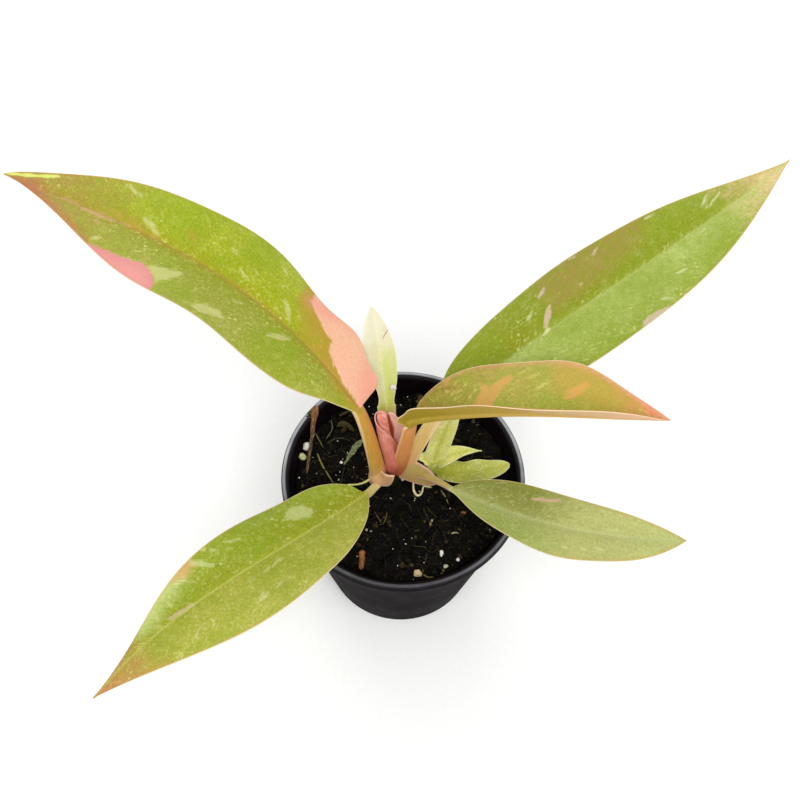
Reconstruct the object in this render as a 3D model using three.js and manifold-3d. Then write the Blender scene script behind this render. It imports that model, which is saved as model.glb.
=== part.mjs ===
// A juvenile ring of fire philodendron in a small round nursery pot.
// Millimetres, +Z up. The origin is the centre of the pot's flat underside.
// The plant looks along no special axis: +X is to the right and +Y is away from the viewer.

import * as THREE from 'three';
import { mergeVertices } from 'three/addons/utils/BufferGeometryUtils.js';
import Module from 'manifold-3d';

const manifold = await Module();
manifold.setup();

// Driving dimensions

const POT_HEIGHT = 48;
const RIM_RADIUS = 30;
const BASE_RADIUS = 19.5;
const WALL = 1.2;
const FLOOR = 1.5;
const LIP_WIDTH = 1.6;
const LIP_DEPTH = 2.4;
const WALL_TOP_RADIUS = 29.1;
const BASE_CHAMFER = 0.8;
const POT_SIDES = 44;

const DRAIN_HOLES = 6;
const DRAIN_RADIUS = 2.5;
const DRAIN_CIRCLE = 12.5;

const CLEARANCE = 0.3;
const SOIL_BELOW_RIM = 5;
const SOIL_LEVEL = POT_HEIGHT - SOIL_BELOW_RIM;
const SOIL_RINGS = 8;
const CROWN = new THREE.Vector2(-2.5, 0.8);
const CROWN_RADIUS = 7;

const BLADE_THICKNESS = 0.7;
const TIP_HALF_WIDTH = 0.35;

// Small helpers for closed solids

const point = ([x, y, z]) => new THREE.Vector3(x, y, z);
const mix = (a, b, t) => a + (b - a) * t;
const radians = THREE.MathUtils.degToRad;

// A closed skin over a row of rings that all have the same number of points. On a thin sheet the
// first half of each ring is its upper face, so the second half is split along the other diagonal.
function skin(rings, sheet = false) {
  const count = rings[0].length;
  const last = rings.length - 1;
  const positions = rings.flat().flatMap((p) => [p.x, p.y, p.z]);
  const faces = [];
  for (let i = 0; i < last; i += 1) {
    for (let j = 0; j < count; j += 1) {
      const k = (j + 1) % count;
      const [a, b, c, d] = [i * count + j, i * count + k, (i + 1) * count + k, (i + 1) * count + j];
      const flipped = sheet && j >= count / 2;
      faces.push(...(flipped ? [a, b, d, b, c, d] : [a, b, c, a, c, d]));
    }
  }
  for (const [row, outward] of [[0, false], [last, true]]) {
    const centre = new THREE.Vector3();
    rings[row].forEach((p) => centre.addScaledVector(p, 1 / count));
    const hub = positions.length / 3;
    positions.push(centre.x, centre.y, centre.z);
    for (let j = 0; j < count; j += 1) {
      const a = row * count + j;
      const b = row * count + ((j + 1) % count);
      faces.push(...(outward ? [hub, a, b] : [hub, b, a]));
    }
  }
  const geometry = new THREE.BufferGeometry();
  geometry.setAttribute('position', new THREE.Float32BufferAttribute(positions, 3));
  geometry.setIndex(faces);
  return geometry;
}

// A geometry becomes a solid once its shared corners are merged and its empty triangles dropped.
function solid(geometry) {
  const bare = geometry.clone();
  bare.deleteAttribute('normal');
  bare.deleteAttribute('uv');
  const merged = mergeVertices(bare, 1e-4);
  const index = merged.index.array;
  const corners = [];
  for (let i = 0; i < index.length; i += 3) {
    const [a, b, c] = index.subarray(i, i + 3);
    if (a !== b && b !== c && c !== a) corners.push(a, b, c);
  }
  return new manifold.Manifold(new manifold.Mesh({
    numProp: 3,
    vertProperties: new Float32Array(merged.attributes.position.array),
    triVerts: new Uint32Array(corners),
  }));
}

// What is left of a piece once its neighbours, each a little larger than life, are cut away.
// A scrap that a cut leaves loose is dropped.
function cutBy(piece, neighbours) {
  const rest = neighbours.reduce((body, other) => body.subtract(other), piece);
  return rest.decompose().sort((a, b) => b.volume() - a.volume())[0];
}

const plant = new THREE.Group();

function addPiece(name, body, color, roughness) {
  const { vertProperties, triVerts } = body.getMesh();
  const geometry = new THREE.BufferGeometry();
  geometry.setAttribute('position', new THREE.BufferAttribute(vertProperties, 3));
  geometry.setIndex(new THREE.BufferAttribute(triVerts, 1));
  geometry.computeVertexNormals();
  const material = new THREE.MeshStandardMaterial({ color, roughness, metalness: 0 });
  const mesh = new THREE.Mesh(geometry, material);
  mesh.name = name;
  plant.add(mesh);
}

// A round body along a curve: a stem, a root or a twig. radii are spread evenly along it.
function rod(points, radii, { sides = 8, steps = 8, grow = 0 } = {}) {
  const path = new THREE.CatmullRomCurve3(points.map(point));
  const { tangents, normals, binormals } = path.computeFrenetFrames(steps);
  const rings = [];
  for (let i = 0; i <= steps; i += 1) {
    const t = i / steps;
    const place = t * (radii.length - 1);
    const from = Math.min(Math.floor(place), radii.length - 2);
    const radius = mix(radii[from], radii[from + 1], place - from) + grow;
    const beyond = (i === steps ? grow : 0) - (i === 0 ? grow : 0);
    const centre = path.getPointAt(t).addScaledVector(tangents[i], beyond);
    rings.push(Array.from({ length: sides }, (_, j) => {
      const angle = (2 * Math.PI * j) / sides;
      return centre.clone()
        .addScaledVector(normals[i], radius * Math.cos(angle))
        .addScaledVector(binormals[i], radius * Math.sin(angle));
    }));
  }
  return solid(skin(rings));
}

// Pot: one moulded shell, with a flat rolled lip and a ring of drain holes round a solid centre

const wallRadius = (z) => mix(BASE_RADIUS, WALL_TOP_RADIUS, z / POT_HEIGHT);

function makePot() {
  const lipFoot = POT_HEIGHT - LIP_DEPTH;
  const inner = (z) => wallRadius(z) - WALL;
  const profile = [
    [0, 0],
    [BASE_RADIUS - BASE_CHAMFER, 0],
    [wallRadius(BASE_CHAMFER), BASE_CHAMFER],
    [wallRadius(lipFoot), lipFoot],
    [RIM_RADIUS - 0.2, lipFoot + 0.3],
    [RIM_RADIUS, lipFoot + 0.8],
    [RIM_RADIUS, POT_HEIGHT - 0.5],
    [RIM_RADIUS - 0.4, POT_HEIGHT],
    [RIM_RADIUS - LIP_WIDTH, POT_HEIGHT],
    [inner(POT_HEIGHT - 1), POT_HEIGHT - 1],
    [inner(FLOOR + 1), FLOOR + 1],
    [inner(FLOOR) - 1, FLOOR],
    [0, FLOOR],
  ].map(([r, z]) => new THREE.Vector2(r, z));
  const shell = solid(new THREE.LatheGeometry(profile, POT_SIDES).rotateX(Math.PI / 2));
  const holes = Array.from({ length: DRAIN_HOLES }, (_, i) => {
    const angle = (2 * Math.PI * i) / DRAIN_HOLES;
    const drill = new THREE.CylinderGeometry(DRAIN_RADIUS, DRAIN_RADIUS, 4 * FLOOR, 12).rotateX(Math.PI / 2);
    drill.translate(DRAIN_CIRCLE * Math.cos(angle), DRAIN_CIRCLE * Math.sin(angle), 0);
    return solid(drill);
  });
  return cutBy(shell, holes);
}

// Soil: a plug of dark potting mix whose top is lumpy, but lies even round the crown

function soilHeight(x, y) {
  const fromCrown = Math.hypot(x - CROWN.x, y - CROWN.y);
  const lumps = 0.55 * Math.sin(0.55 * x + 1.3) * Math.cos(0.6 * y - 0.4)
    + 0.4 * Math.sin(1.15 * x - 0.8 * y + 0.7)
    + 0.25 * Math.cos(1.6 * y + 0.9 * x);
  return SOIL_LEVEL + lumps * THREE.MathUtils.smoothstep(fromCrown, CROWN_RADIUS - 2, CROWN_RADIUS + 3);
}

function makeSoil() {
  const bottom = FLOOR + CLEARANCE;
  const reach = (z) => wallRadius(z) - WALL - CLEARANCE;
  const top = Array.from({ length: SOIL_RINGS }, (_, i) => [
    reach(SOIL_LEVEL - 1.5) * (1 - i / SOIL_RINGS), SOIL_LEVEL,
  ]);
  const profile = [[0, bottom], [reach(bottom) - 1.2, bottom], [reach(bottom + 1.5), bottom + 1.5],
    [reach(SOIL_LEVEL - 1.5), SOIL_LEVEL - 1.5], ...top, [0, SOIL_LEVEL]];
  const geometry = new THREE.LatheGeometry(
    profile.map(([r, z]) => new THREE.Vector2(r, z)), POT_SIDES,
  ).rotateX(Math.PI / 2);
  const place = geometry.attributes.position;
  for (let i = 0; i < place.count; i += 1) {
    if (place.getZ(i) > SOIL_LEVEL - 0.01) {
      place.setZ(i, soilHeight(place.getX(i), place.getY(i)));
    }
  }
  return solid(geometry);
}

// Stem: a short upright stem that ends in the crown, with four roots spreading below it

function makeStem(grow = 0) {
  const { x, y } = CROWN;
  const stem = rod(
    [[x, y, 27], [x, y, 36], [x, y, 42], [x, y + 0.2, 47]],
    [1.6, 2.3, 3, 3.2, 1.5],
    { sides: 12, steps: 8, grow },
  );
  const roots = [20, 115, 200, 290].map((bearing, i) => {
    const [cx, cy] = [Math.cos(radians(bearing)), Math.sin(radians(bearing))];
    const out = [0.3, 4, 6.5 + i * 0.8, 8 + i];
    const down = [31 - i, 25 - i, 17, 9 + i];
    return rod(out.map((r, k) => [x + r * cx, y + r * cy, down[k]]), [1.1, 1, 0.7, 0.4], { sides: 6, steps: 5, grow });
  });
  return roots.reduce((body, root) => body.add(root), stem);
}

// A leaf is one grown piece: a channelled leaf stalk that runs on as the midrib of a thin blade.
//   stalk   two route points between the foot and the blade
//   rib     four points that guide the midrib from the blade's base to its tip
//   rod     half-width and depth of the stalk at its foot and at the blade, and of the rib near the tip
//   turn    how far the stalk's foot is rolled about its own line, in degrees
//   roll    the same for the blade, at its base and at its tip
//   halves  for the right and the left of the blade: greatest half-width, how fast it widens from the
//           base, how slowly it narrows to the tip, fold at the rib and further bend to the margin in
//           degrees, the margin's wave as height, number and start, and its lobes, which are how much
//           further it stands out at the four places along the blade

const ACROSS = [0, 0.13, 0.38, 0.7, 1];
const STALK_STEPS = 8;
const BLADE_STEPS = 18;
const LOBE_PLACES = [[0.05, 0.06], [0.2, 0.11], [0.42, 0.14], [0.7, 0.16]];

function halfWidth({ width, rise, fall, lobes }, t) {
  const widest = rise / (rise + fall);
  const lobed = LOBE_PLACES.reduce(
    (sum, [place, reach], i) => sum + lobes[i] * Math.exp(-(((t - place) / reach) ** 2)),
    1,
  );
  return width * lobed * (t / widest) ** rise * ((1 - t) / (1 - widest)) ** fall;
}

// Points along the whole leaf, each with its frame and the sizes of the section there
function stations(leaf, stalkSteps, bladeSteps, grow) {
  const foot = new THREE.CubicBezierCurve3(...[...leaf.stalk, leaf.rib[0]].map(point));
  const rib = new THREE.CubicBezierCurve3(...leaf.rib.map(point));
  const up = new THREE.Vector3(0, 0, 1);
  const bladeSide = rib.getTangentAt(0).cross(up).normalize();
  const rows = [];
  const add = (centre, along, side, roll, t, half, depth) => {
    side.addScaledVector(along, -side.dot(along)).normalize();
    const over = new THREE.Vector3().crossVectors(side, along);
    const turn = radians(roll);
    rows.push({
      centre,
      side: side.clone().multiplyScalar(Math.cos(turn)).addScaledVector(over, Math.sin(turn)),
      over: over.clone().multiplyScalar(Math.cos(turn)).addScaledVector(side, -Math.sin(turn)),
      t,
      half: half + grow,
      depth: depth + grow,
    });
  };
  const [atFoot, atBlade, atTip] = leaf.rod;
  for (let i = 0; i < stalkSteps; i += 1) {
    const s = i / stalkSteps;
    const ease = s ** 0.7;
    add(foot.getPointAt(s), foot.getTangentAt(s), bladeSide.clone(), mix(leaf.turn, leaf.roll[0], s), 0,
      mix(atFoot[0], atBlade[0], ease), mix(atFoot[1], atBlade[1], ease));
  }
  for (let i = 0; i <= bladeSteps; i += 1) {
    const t = (i / bladeSteps) ** 1.15;
    const along = rib.getTangentAt(t);
    if (i === 0) along.add(foot.getTangentAt(1)).normalize();
    add(rib.getPointAt(t), along, along.clone().cross(up), mix(leaf.roll[0], leaf.roll[1], t), t,
      mix(atBlade[0], atTip[0], t ** 0.5), mix(atBlade[1], atTip[1], t ** 0.5));
  }
  return rows;
}

// The upper and lower line of one section, from its left margin to its right margin and back
function section(leaf, row, grow) {
  const upper = [];
  const lower = [];
  const sides = [...ACROSS.slice(1).reverse().map((v) => [-1, v]), ...ACROSS.map((v) => [1, v])];
  for (const [sign, v] of sides) {
    const half = sign > 0 ? leaf.right : leaf.left;
    const blade = row.t > 0 ? halfWidth(half, Math.min(row.t, 1)) : 0;
    const width = Math.max(Math.hypot(row.half * (1 - row.t), blade), TIP_HALF_WIDTH);
    const spread = blade / (blade + row.half);
    const fold = radians(half.fold) * spread;
    const bend = radians(half.bend) * spread || 1e-6;
    const out = (width * (Math.sin(fold + bend * v) - Math.sin(fold))) / bend;
    const [height, count, start] = half.wave;
    const wave = height * v * v * Math.sin(2 * Math.PI * (count * row.t + start)) * Math.sin(Math.PI * row.t);
    const lift = (width * (Math.cos(fold) - Math.cos(fold + bend * v))) / bend + wave;
    const slope = fold + bend * v;
    const normal = row.over.clone().multiplyScalar(Math.cos(slope))
      .addScaledVector(row.side, -sign * Math.sin(slope));
    const middle = row.centre.clone().addScaledVector(row.side, sign * out).addScaledVector(row.over, lift);
    const round = Math.sqrt(Math.max(0, 1 - (width * v / row.half) ** 2));
    const skinDepth = BLADE_THICKNESS / 2 + grow;
    upper.push(middle.clone().addScaledVector(normal, skinDepth + 0.3 * row.depth * round * (1 - spread)));
    lower.unshift(middle.clone().addScaledVector(normal, -skinDepth - row.depth * round));
  }
  return [...upper, ...lower];
}

function makeLeaf(leaf, stalkSteps = STALK_STEPS, bladeSteps = BLADE_STEPS) {
  return solid(skin(stations(leaf, stalkSteps, bladeSteps, 0).map((row) => section(leaf, row, 0)), true));
}

// The stalk alone, larger by the clearance, for cutting what lies against it
function growStalk(leaf) {
  const rows = stations(leaf, STALK_STEPS, BLADE_STEPS, CLEARANCE).slice(0, STALK_STEPS + 2);
  return solid(skin(rows.map((row) => section(leaf, row, CLEARANCE)), true));
}

const halfBlade = (width, rise, fall, detail = {}) => ({
  width, rise, fall, wave: [0.2, 2, 0], fold: 12, bend: -8, lobes: [0, 0, 0, 0], ...detail,
});

const LEAVES = {
  leaf_upper_left: {
    stalk: [[-5.2, 0.3, 44], [-6.3, -0.6, 56], [-8.2, 0.2, 69]],
    rib: [[-10.6, 0.8, 78], [-33.1, 24.6, 97], [-61.3, 30.2, 104], [-92.1, 43.6, 105]],
    rod: [[2.3, 1.9], [1.6, 1.4], [0.5, 0.3]],
    turn: 35,
    roll: [-21, 2],
    right: halfBlade(15.8, 0.21, 0.78, { wave: [2.6, 0.89, 0.6], lobes: [-0.29, -0.16, 0.1, 0.06] }),
    left: halfBlade(17.5, 0.82, 1.47, { wave: [2.6, 1.71, 0.56], lobes: [-0.17, -0.06, -0.04, 0] }),
  },
  leaf_upper_right: {
    stalk: [[0.2, 2.3, 44.5], [2.9, 4.4, 54], [4.2, 3.8, 61.5]],
    rib: [[8.6, 8.4, 66], [34.4, 23.3, 84], [62.9, 36.4, 96], [88, 58.5, 101]],
    rod: [[1.5, 1.3], [1.9, 1.3], [0.5, 0.3]],
    turn: -50,
    roll: [9, 2],
    right: halfBlade(15.3, 0.8, 1.15, { wave: [0.9, 1.7, 0.45] }),
    left: halfBlade(13.1, 0.59, 1.14, { wave: [2.6, 0.91, 0.51], lobes: [0.04, 0, 0.07, 0.05] }),
  },
  leaf_folded: {
    stalk: [[-1.6, 1, 44.5], [-1.3, 0.4, 57], [1.6, -0.8, 68.5]],
    rib: [[0.6, -4.2, 78.7], [19.6, -2.7, 86.7], [37.3, -5.9, 91.7], [57.4, -5.6, 88.7]],
    rod: [[1.8, 1.7], [2.2, 1.1], [0.4, 0.15]],
    turn: 75,
    roll: [31, 23],
    right: halfBlade(15, 0.2, 0.96, {
      wave: [1.3, 1.16, 0.21], fold: 48, bend: -4, lobes: [0.09, -0.15, 0.04, 0],
    }),
    left: halfBlade(13.7, 0.57, 0.89, {
      wave: [0.68, 1.65, 0.16], fold: 40, bend: -16, lobes: [0, 0.02, 0, 0.1],
    }),
  },
  leaf_lower_right: {
    stalk: [[-0.4, 1.8, 45], [3.2, 2.6, 47.5], [7.6, -1.6, 50.5]],
    rib: [[11.4, -6.9, 55], [27.5, -18.6, 62], [44.6, -24.1, 65], [65.2, -21.4, 61]],
    rod: [[2.8, 1.2], [0.9, 0.9], [0.4, 0.2]],
    turn: -30,
    roll: [0, 0],
    right: halfBlade(7.6, 1.11, 0.96, { wave: [0.57, 2.62, 0.46], fold: 10, bend: -10 }),
    left: halfBlade(8.5, 0.61, 0.84, { wave: [1, 1.18, 0.15], fold: 10, bend: -10 }),
  },
  leaf_lower_left: {
    stalk: [[-5, -1.2, 44.6], [-6.6, -2.9, 45.6], [-8.6, -5.2, 48.6]],
    rib: [[-9, -7.8, 54], [-25.1, -28.9, 63], [-48.8, -40.7, 66], [-65.2, -61.8, 59]],
    rod: [[1.5, 1.1], [1.2, 1.1], [0.5, 0.3]],
    turn: 0,
    roll: [-4, -14],
    right: halfBlade(11.3, 0.57, 1.36, { wave: [2.6, 1.43, 0.38], lobes: [-0.05, -0.03, 0.05, 0.08] }),
    left: halfBlade(14.3, 0.84, 1.06, { wave: [2.13, 1.12, 0], lobes: [0.09, 0, 0, 0.02] }),
  },
  leaf_small_upright: {
    stalk: [[-2.6, 3.4, 43.9], [-3, 4.6, 52], [-4, 5, 60]],
    rib: [[-4.7, 7.4, 66.5], [-5.2, 12, 72], [-6.6, 17.5, 78], [-8.8, 24.9, 84.2]],
    rod: [[1.5, 0.9], [1.4, 0.8], [0.4, 0.2]],
    turn: 0,
    roll: [0, -6],
    right: halfBlade(3.9, 0.85, 0.8),
    left: halfBlade(3.7, 1.7, 1.1),
  },
};

// The foot of the upper left leaf's stalk: a fleshy lip that wraps round the front of the crown
const SHEATH_LIP = [[-7.6, 0.1, 46.5], [-7, -1.6, 46.5], [-4.9, -1.7, 46.5], [-3.3, -0.8, 46.6]];
const SHEATH_LIP_RADII = [1.1, 1.3, 1.3, 0.9];

const makeSheathLip = (grow = 0) => rod(SHEATH_LIP, SHEATH_LIP_RADII, { grow });

// New leaf: still rolled into a spindle, with its free edge standing open as a slit

const SPINDLE = [[-2.8, 1.6, 45], [-2.9, 1.3, 53], [-3.4, 1, 61], [-4.3, 0.9, 68.5], [-5, 1.5, 74.8]];
const SPINDLE_RADII = [2.2, 1.9, 2, 2.5, 2.6, 1.3];
const SLIT = [[-2.3, -0.7, 60], [-2.4, -1.1, 68], [-3.3, -0.8, 77]];
const SLIT_RADII = [0.15, 0.7, 0.9];

const makeSpindle = (grow = 0) => rod(SPINDLE, SPINDLE_RADII, { sides: 14, steps: 12, grow });

// Side shoot: a low leafy shoot beside the crown, three small leaves and a pale bract on one foot

const SHOOT_FOOT = [[6.4, 4.4, 37], [6.6, 4.5, 42], [6.8, 4.6, 46]];
const SHOOT_FOOT_RADII = [1.2, 1.5, 1.1];
const SHOOT_LEAVES = [
  {
    stalk: [[6.6, 4.6, 44.6], [6.7, 5, 45.8], [6.9, 5.2, 47]],
    rib: [[7.2, 5.4, 48.4], [8.8, 6.4, 54], [10.2, 7.6, 60], [12, 9.6, 67]],
    rod: [[1.2, 0.8], [1.3, 0.6], [0.3, 0.2]],
    turn: -30,
    roll: [-55, -55],
    right: halfBlade(2.9, 0.35, 0.5),
    left: halfBlade(2.9, 0.35, 0.5),
  },
  {
    stalk: [[6.8, 4.4, 44.6], [7.2, 4.7, 45.2], [7.6, 4.8, 45.6]],
    rib: [[8.1, 4.9, 46.2], [11, 5.4, 49.4], [15, 5.6, 51.4], [19, 4.9, 52.6]],
    rod: [[1.1, 0.7], [1, 0.5], [0.3, 0.2]],
    turn: 0,
    roll: [-12, -10],
    right: halfBlade(2.2, 0.25, 1.3),
    left: halfBlade(2.3, 0.35, 1.2),
  },
  {
    stalk: [[6.8, 4.3, 44.6], [7.4, 3.8, 44.9], [7.9, 3.2, 45.3]],
    rib: [[8.4, 2.6, 45.8], [13.5, 0.4, 48.6], [19.5, 0.4, 50], [26.1, 3.1, 49.5]],
    rod: [[1.1, 0.7], [1, 0.5], [0.3, 0.2]],
    turn: 0,
    roll: [-12, -6],
    right: halfBlade(3, 0.45, 0.55, { wave: [0.3, 2, 0.2] }),
    left: halfBlade(2.9, 0.45, 0.7, { wave: [0.5, 2, 0.2] }),
  },
  {
    stalk: [[6.2, 4.3, 44.4], [5.6, 4.2, 45], [5.2, 4.1, 45.6]],
    rib: [[5, 4.1, 46], [5, 4.8, 47.4], [5.6, 5.7, 49], [6.5, 6.5, 51]],
    rod: [[1.1, 0.6], [1, 0.5], [0.3, 0.2]],
    turn: 0,
    roll: [-10, -10],
    right: halfBlade(1.6, 0.4, 0.9),
    left: halfBlade(1.4, 0.4, 0.9),
  },
];

const makeShootFoot = (grow = 0) => rod(SHOOT_FOOT, SHOOT_FOOT_RADII, { steps: 4, grow });

function makeSideShoot() {
  return SHOOT_LEAVES.reduce((body, leaf) => body.add(makeLeaf(leaf, 2, 7)), makeShootFoot());
}

// What lies on the soil or grows into it: an aerial root, twigs, perlite, a pebble and a dry leaf scrap

const RUNNERS = {
  aerial_root: {
    route: [[2.2, -1.6, 44.9], [2.8, -3.4, 44.5], [4.4, -4, 44.2], [5.4, -2.8, 43.9]],
    radii: [0.5, 0.45, 0.35, 0.3],
  },
  twig_long: {
    route: [[-23.2, 17.6, 49.8], [-23.3, 14.5, 48.8], [-23.6, 8, 45.6], [-23.8, 1.5, 43.6]],
    radii: [1, 0.85, 0.75, 0.5],
  },
  twig_short: {
    route: [[-9.2, -19.4, 45], [-9.2, -21.4, 44], [-9.4, -23.4, 43.2]],
    radii: [0.9, 0.8, 0.6],
  },
};

const GRAINS = {
  perlite_large: [-24.1, 9.5, 0.95],
  perlite_green: [-25, 6.6, 0.9],
  perlite_left: [-15.4, 5.4, 0.7],
  perlite_front: [9.8, -19, 0.8],
  perlite_right: [13.8, -20.4, 0.7],
  pebble: [4.2, -23.8, 1.2],
};

function makeGrain([x, y, size], grow = 0) {
  const geometry = new THREE.IcosahedronGeometry(size + grow, 1);
  geometry.scale(1, 0.9, 0.85);
  geometry.translate(x, y, soilHeight(x, y) + 0.45 * size);
  return solid(geometry);
}

function makeRunner({ route, radii }, grow = 0) {
  return rod(route, radii, { sides: 6, steps: 8, grow });
}

const SCRAP = {
  stalk: [[-15.2, 3.2, 44], [-15, 3.6, 44.3], [-14.8, 4, 44.6]],
  rib: [[-14.4, 4.7, 45], [-13.4, 6.4, 46], [-12, 8, 46.8], [-10.4, 9.8, 47.2]],
  rod: [[0.4, 0.2], [0.4, 0.2], [0.3, 0.1]],
  turn: 0,
  roll: [10, 20],
  right: halfBlade(1.2, 0.6, 0.7),
  left: halfBlade(1.2, 0.6, 0.7),
};

// Assembly: each piece is cut clear of the pieces that grew, or were set, before it

const leafColors = {
  leaf_upper_left: 0x9cb02c,
  leaf_upper_right: 0x8faa34,
  leaf_folded: 0xa89a3c,
  leaf_lower_right: 0x8fa04a,
  leaf_lower_left: 0x98ac34,
  leaf_small_upright: 0xd0d890,
};

const cutOrder = ['leaf_folded', 'leaf_upper_left', 'leaf_upper_right', 'leaf_lower_right',
  'leaf_lower_left', 'leaf_small_upright'];

const grownStem = makeStem(CLEARANCE);
const newLeaf = makeSpindle().subtract(rod(SLIT, SLIT_RADII, { sides: 6, steps: 5 }));

addPiece('pot', makePot(), 0x2b2529, 0.45);
addPiece('stem', makeStem(), 0xb9a25a, 0.5);
addPiece('new_leaf', cutBy(newLeaf, [grownStem]), 0xd07a6a, 0.45);

const standing = [grownStem, makeSpindle(CLEARANCE)];
for (const name of cutOrder) {
  const steps = name === 'leaf_small_upright' ? [5, 10] : [STALK_STEPS, BLADE_STEPS];
  const leaf = makeLeaf(LEAVES[name], ...steps);
  const whole = name === 'leaf_upper_left' ? leaf.add(makeSheathLip()) : leaf;
  addPiece(name, cutBy(whole, standing), leafColors[name], 0.42);
  standing.push(growStalk(LEAVES[name]));
  if (name === 'leaf_upper_left') standing.push(makeSheathLip(CLEARANCE));
}

addPiece('side_shoot', cutBy(makeSideShoot(), standing), 0xc5d070, 0.45);
standing.push(makeShootFoot(CLEARANCE));

for (const [name, runner] of Object.entries(RUNNERS)) {
  addPiece(name, cutBy(makeRunner(runner), standing), name === 'aerial_root' ? 0xc9b68a : 0x6b4a2c, 0.8);
}
for (const [name, grain] of Object.entries(GRAINS)) {
  addPiece(name, makeGrain(grain), name === 'pebble' ? 0xc9ad84 : 0xe6e3da, 0.9);
}
addPiece('leaf_scrap', makeLeaf(SCRAP, 2, 7), 0x7d8a58, 0.8);

const sunk = [
  grownStem,
  makeShootFoot(CLEARANCE),
  ...Object.values(RUNNERS).map((runner) => makeRunner(runner, CLEARANCE)),
  ...Object.values(GRAINS).map((grain) => makeGrain(grain, CLEARANCE)),
];
addPiece('soil', cutBy(makeSoil(), sunk), 0x1d1712, 0.95);

export default plant;
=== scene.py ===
"""A young ring of fire philodendron in its nursery pot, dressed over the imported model.

Blender works in metres. Sizes below are in millimetres, and each piece is scaled as it is made.
A pattern's scale is 1000 over the size of its grains in millimetres.
"""

import math

import bmesh
import bpy
import numpy as np
from mathutils import Matrix, Vector


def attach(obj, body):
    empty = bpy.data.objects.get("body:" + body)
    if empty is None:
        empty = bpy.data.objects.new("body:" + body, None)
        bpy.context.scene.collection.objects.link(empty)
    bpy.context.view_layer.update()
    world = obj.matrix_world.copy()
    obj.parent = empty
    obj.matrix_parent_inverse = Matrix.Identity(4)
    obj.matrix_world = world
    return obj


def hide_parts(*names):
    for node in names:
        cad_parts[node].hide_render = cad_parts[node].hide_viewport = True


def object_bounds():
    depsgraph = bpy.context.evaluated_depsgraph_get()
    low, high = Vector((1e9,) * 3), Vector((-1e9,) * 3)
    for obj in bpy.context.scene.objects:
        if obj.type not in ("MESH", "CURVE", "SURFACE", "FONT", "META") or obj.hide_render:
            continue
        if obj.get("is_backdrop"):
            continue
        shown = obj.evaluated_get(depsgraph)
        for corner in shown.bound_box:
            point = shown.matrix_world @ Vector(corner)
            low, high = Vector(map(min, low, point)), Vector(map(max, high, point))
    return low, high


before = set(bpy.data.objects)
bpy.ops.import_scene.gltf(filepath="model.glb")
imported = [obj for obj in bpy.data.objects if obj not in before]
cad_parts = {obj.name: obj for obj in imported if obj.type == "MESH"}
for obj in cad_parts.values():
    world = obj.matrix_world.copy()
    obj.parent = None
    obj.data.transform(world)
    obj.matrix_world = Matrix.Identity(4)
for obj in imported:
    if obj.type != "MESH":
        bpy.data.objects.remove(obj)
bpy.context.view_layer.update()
scene = bpy.context.scene

# Camera: held above and in front of the pot and looking 59.5 degrees down into it, with the
# head tipped a little. A 58.5 mm lens on a 36 mm frame sees the leaves from tip to tip.

LOOK_DOWN = math.radians(59.51)
HEAD_TIP = math.radians(1.78)
CAMERA_PLACE = (-0.00136, -0.14647, 0.33291)
FOCAL_LENGTH, SENSOR_WIDTH = 58.5, 36

sight = Vector((0, math.cos(LOOK_DOWN), -math.sin(LOOK_DOWN)))
level = Vector((1, 0, 0))
rise = Vector((0, math.sin(LOOK_DOWN), math.cos(LOOK_DOWN)))
camera_x = math.cos(HEAD_TIP) * level + math.sin(HEAD_TIP) * rise
camera_y = math.cos(HEAD_TIP) * rise - math.sin(HEAD_TIP) * level
lens = bpy.data.cameras.new("camera")
lens.sensor_width = SENSOR_WIDTH
lens.lens = FOCAL_LENGTH
lens.clip_start = 0.01
camera = bpy.data.objects.new("camera", lens)
camera.matrix_world = (Matrix.Translation(CAMERA_PLACE)
                       @ Matrix((camera_x, camera_y, -sight)).transposed().to_4x4())
scene.collection.objects.link(camera)
scene.camera = camera
scene.view_settings.view_transform = "Standard"

# Studio: a sheet of white paper under the pot in an even white room, a large soft window behind
# the plant, and a soft box beside the camera that lights the crown between the leaves.


def linear(colour):
    """An sRGB hex colour as linear light."""
    parts = [int(colour[i:i + 2], 16) / 255 for i in (1, 3, 5)]
    return (*[c / 12.92 if c <= 0.04045 else ((c + 0.055) / 1.055) ** 2.4 for c in parts], 1)


def add(tree, kind, sockets=None, stops=None, **settings):
    """Adds one shader node with its settings, its values and its links."""
    node = tree.nodes.new("ShaderNode" + kind)
    for name, value in settings.items():
        setattr(node, name, value)
    for spot, value in (sockets or {}).items():
        if isinstance(value, bpy.types.NodeSocket):
            tree.links.new(value, node.inputs[spot])
        else:
            node.inputs[spot].default_value = value
    if stops:
        ramp = node.color_ramp.elements
        ramp.remove(ramp[1])
        ramp[0].position, ramp[0].color = stops[0][0], linear(stops[0][1])
        for place, colour in stops[1:]:
            ramp.new(place).color = linear(colour)
    return node


def surface(name, ior=1.5, specular=0.5):
    """A new material's node tree, emptied, with its Principled shader joined to the output."""
    material = bpy.data.materials.new(name)
    material.use_nodes = True
    tree = material.node_tree
    tree.nodes.clear()
    shader = add(tree, "BsdfPrincipled", {"IOR": ior, "Specular IOR Level": specular})
    add(tree, "OutputMaterial", {"Surface": shader.outputs[0]})
    return material, tree, shader


def coated(tree, colour, coats):
    """Lays coats over a colour, each as how much it covers and its tint, a hex or a socket."""
    for cover, tint in coats:
        tint = linear(tint) if isinstance(tint, str) else tint
        colour = add(tree, "Mix", {0: cover, 6: colour, 7: tint}, data_type="RGBA").outputs[2]
    return colour


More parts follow.
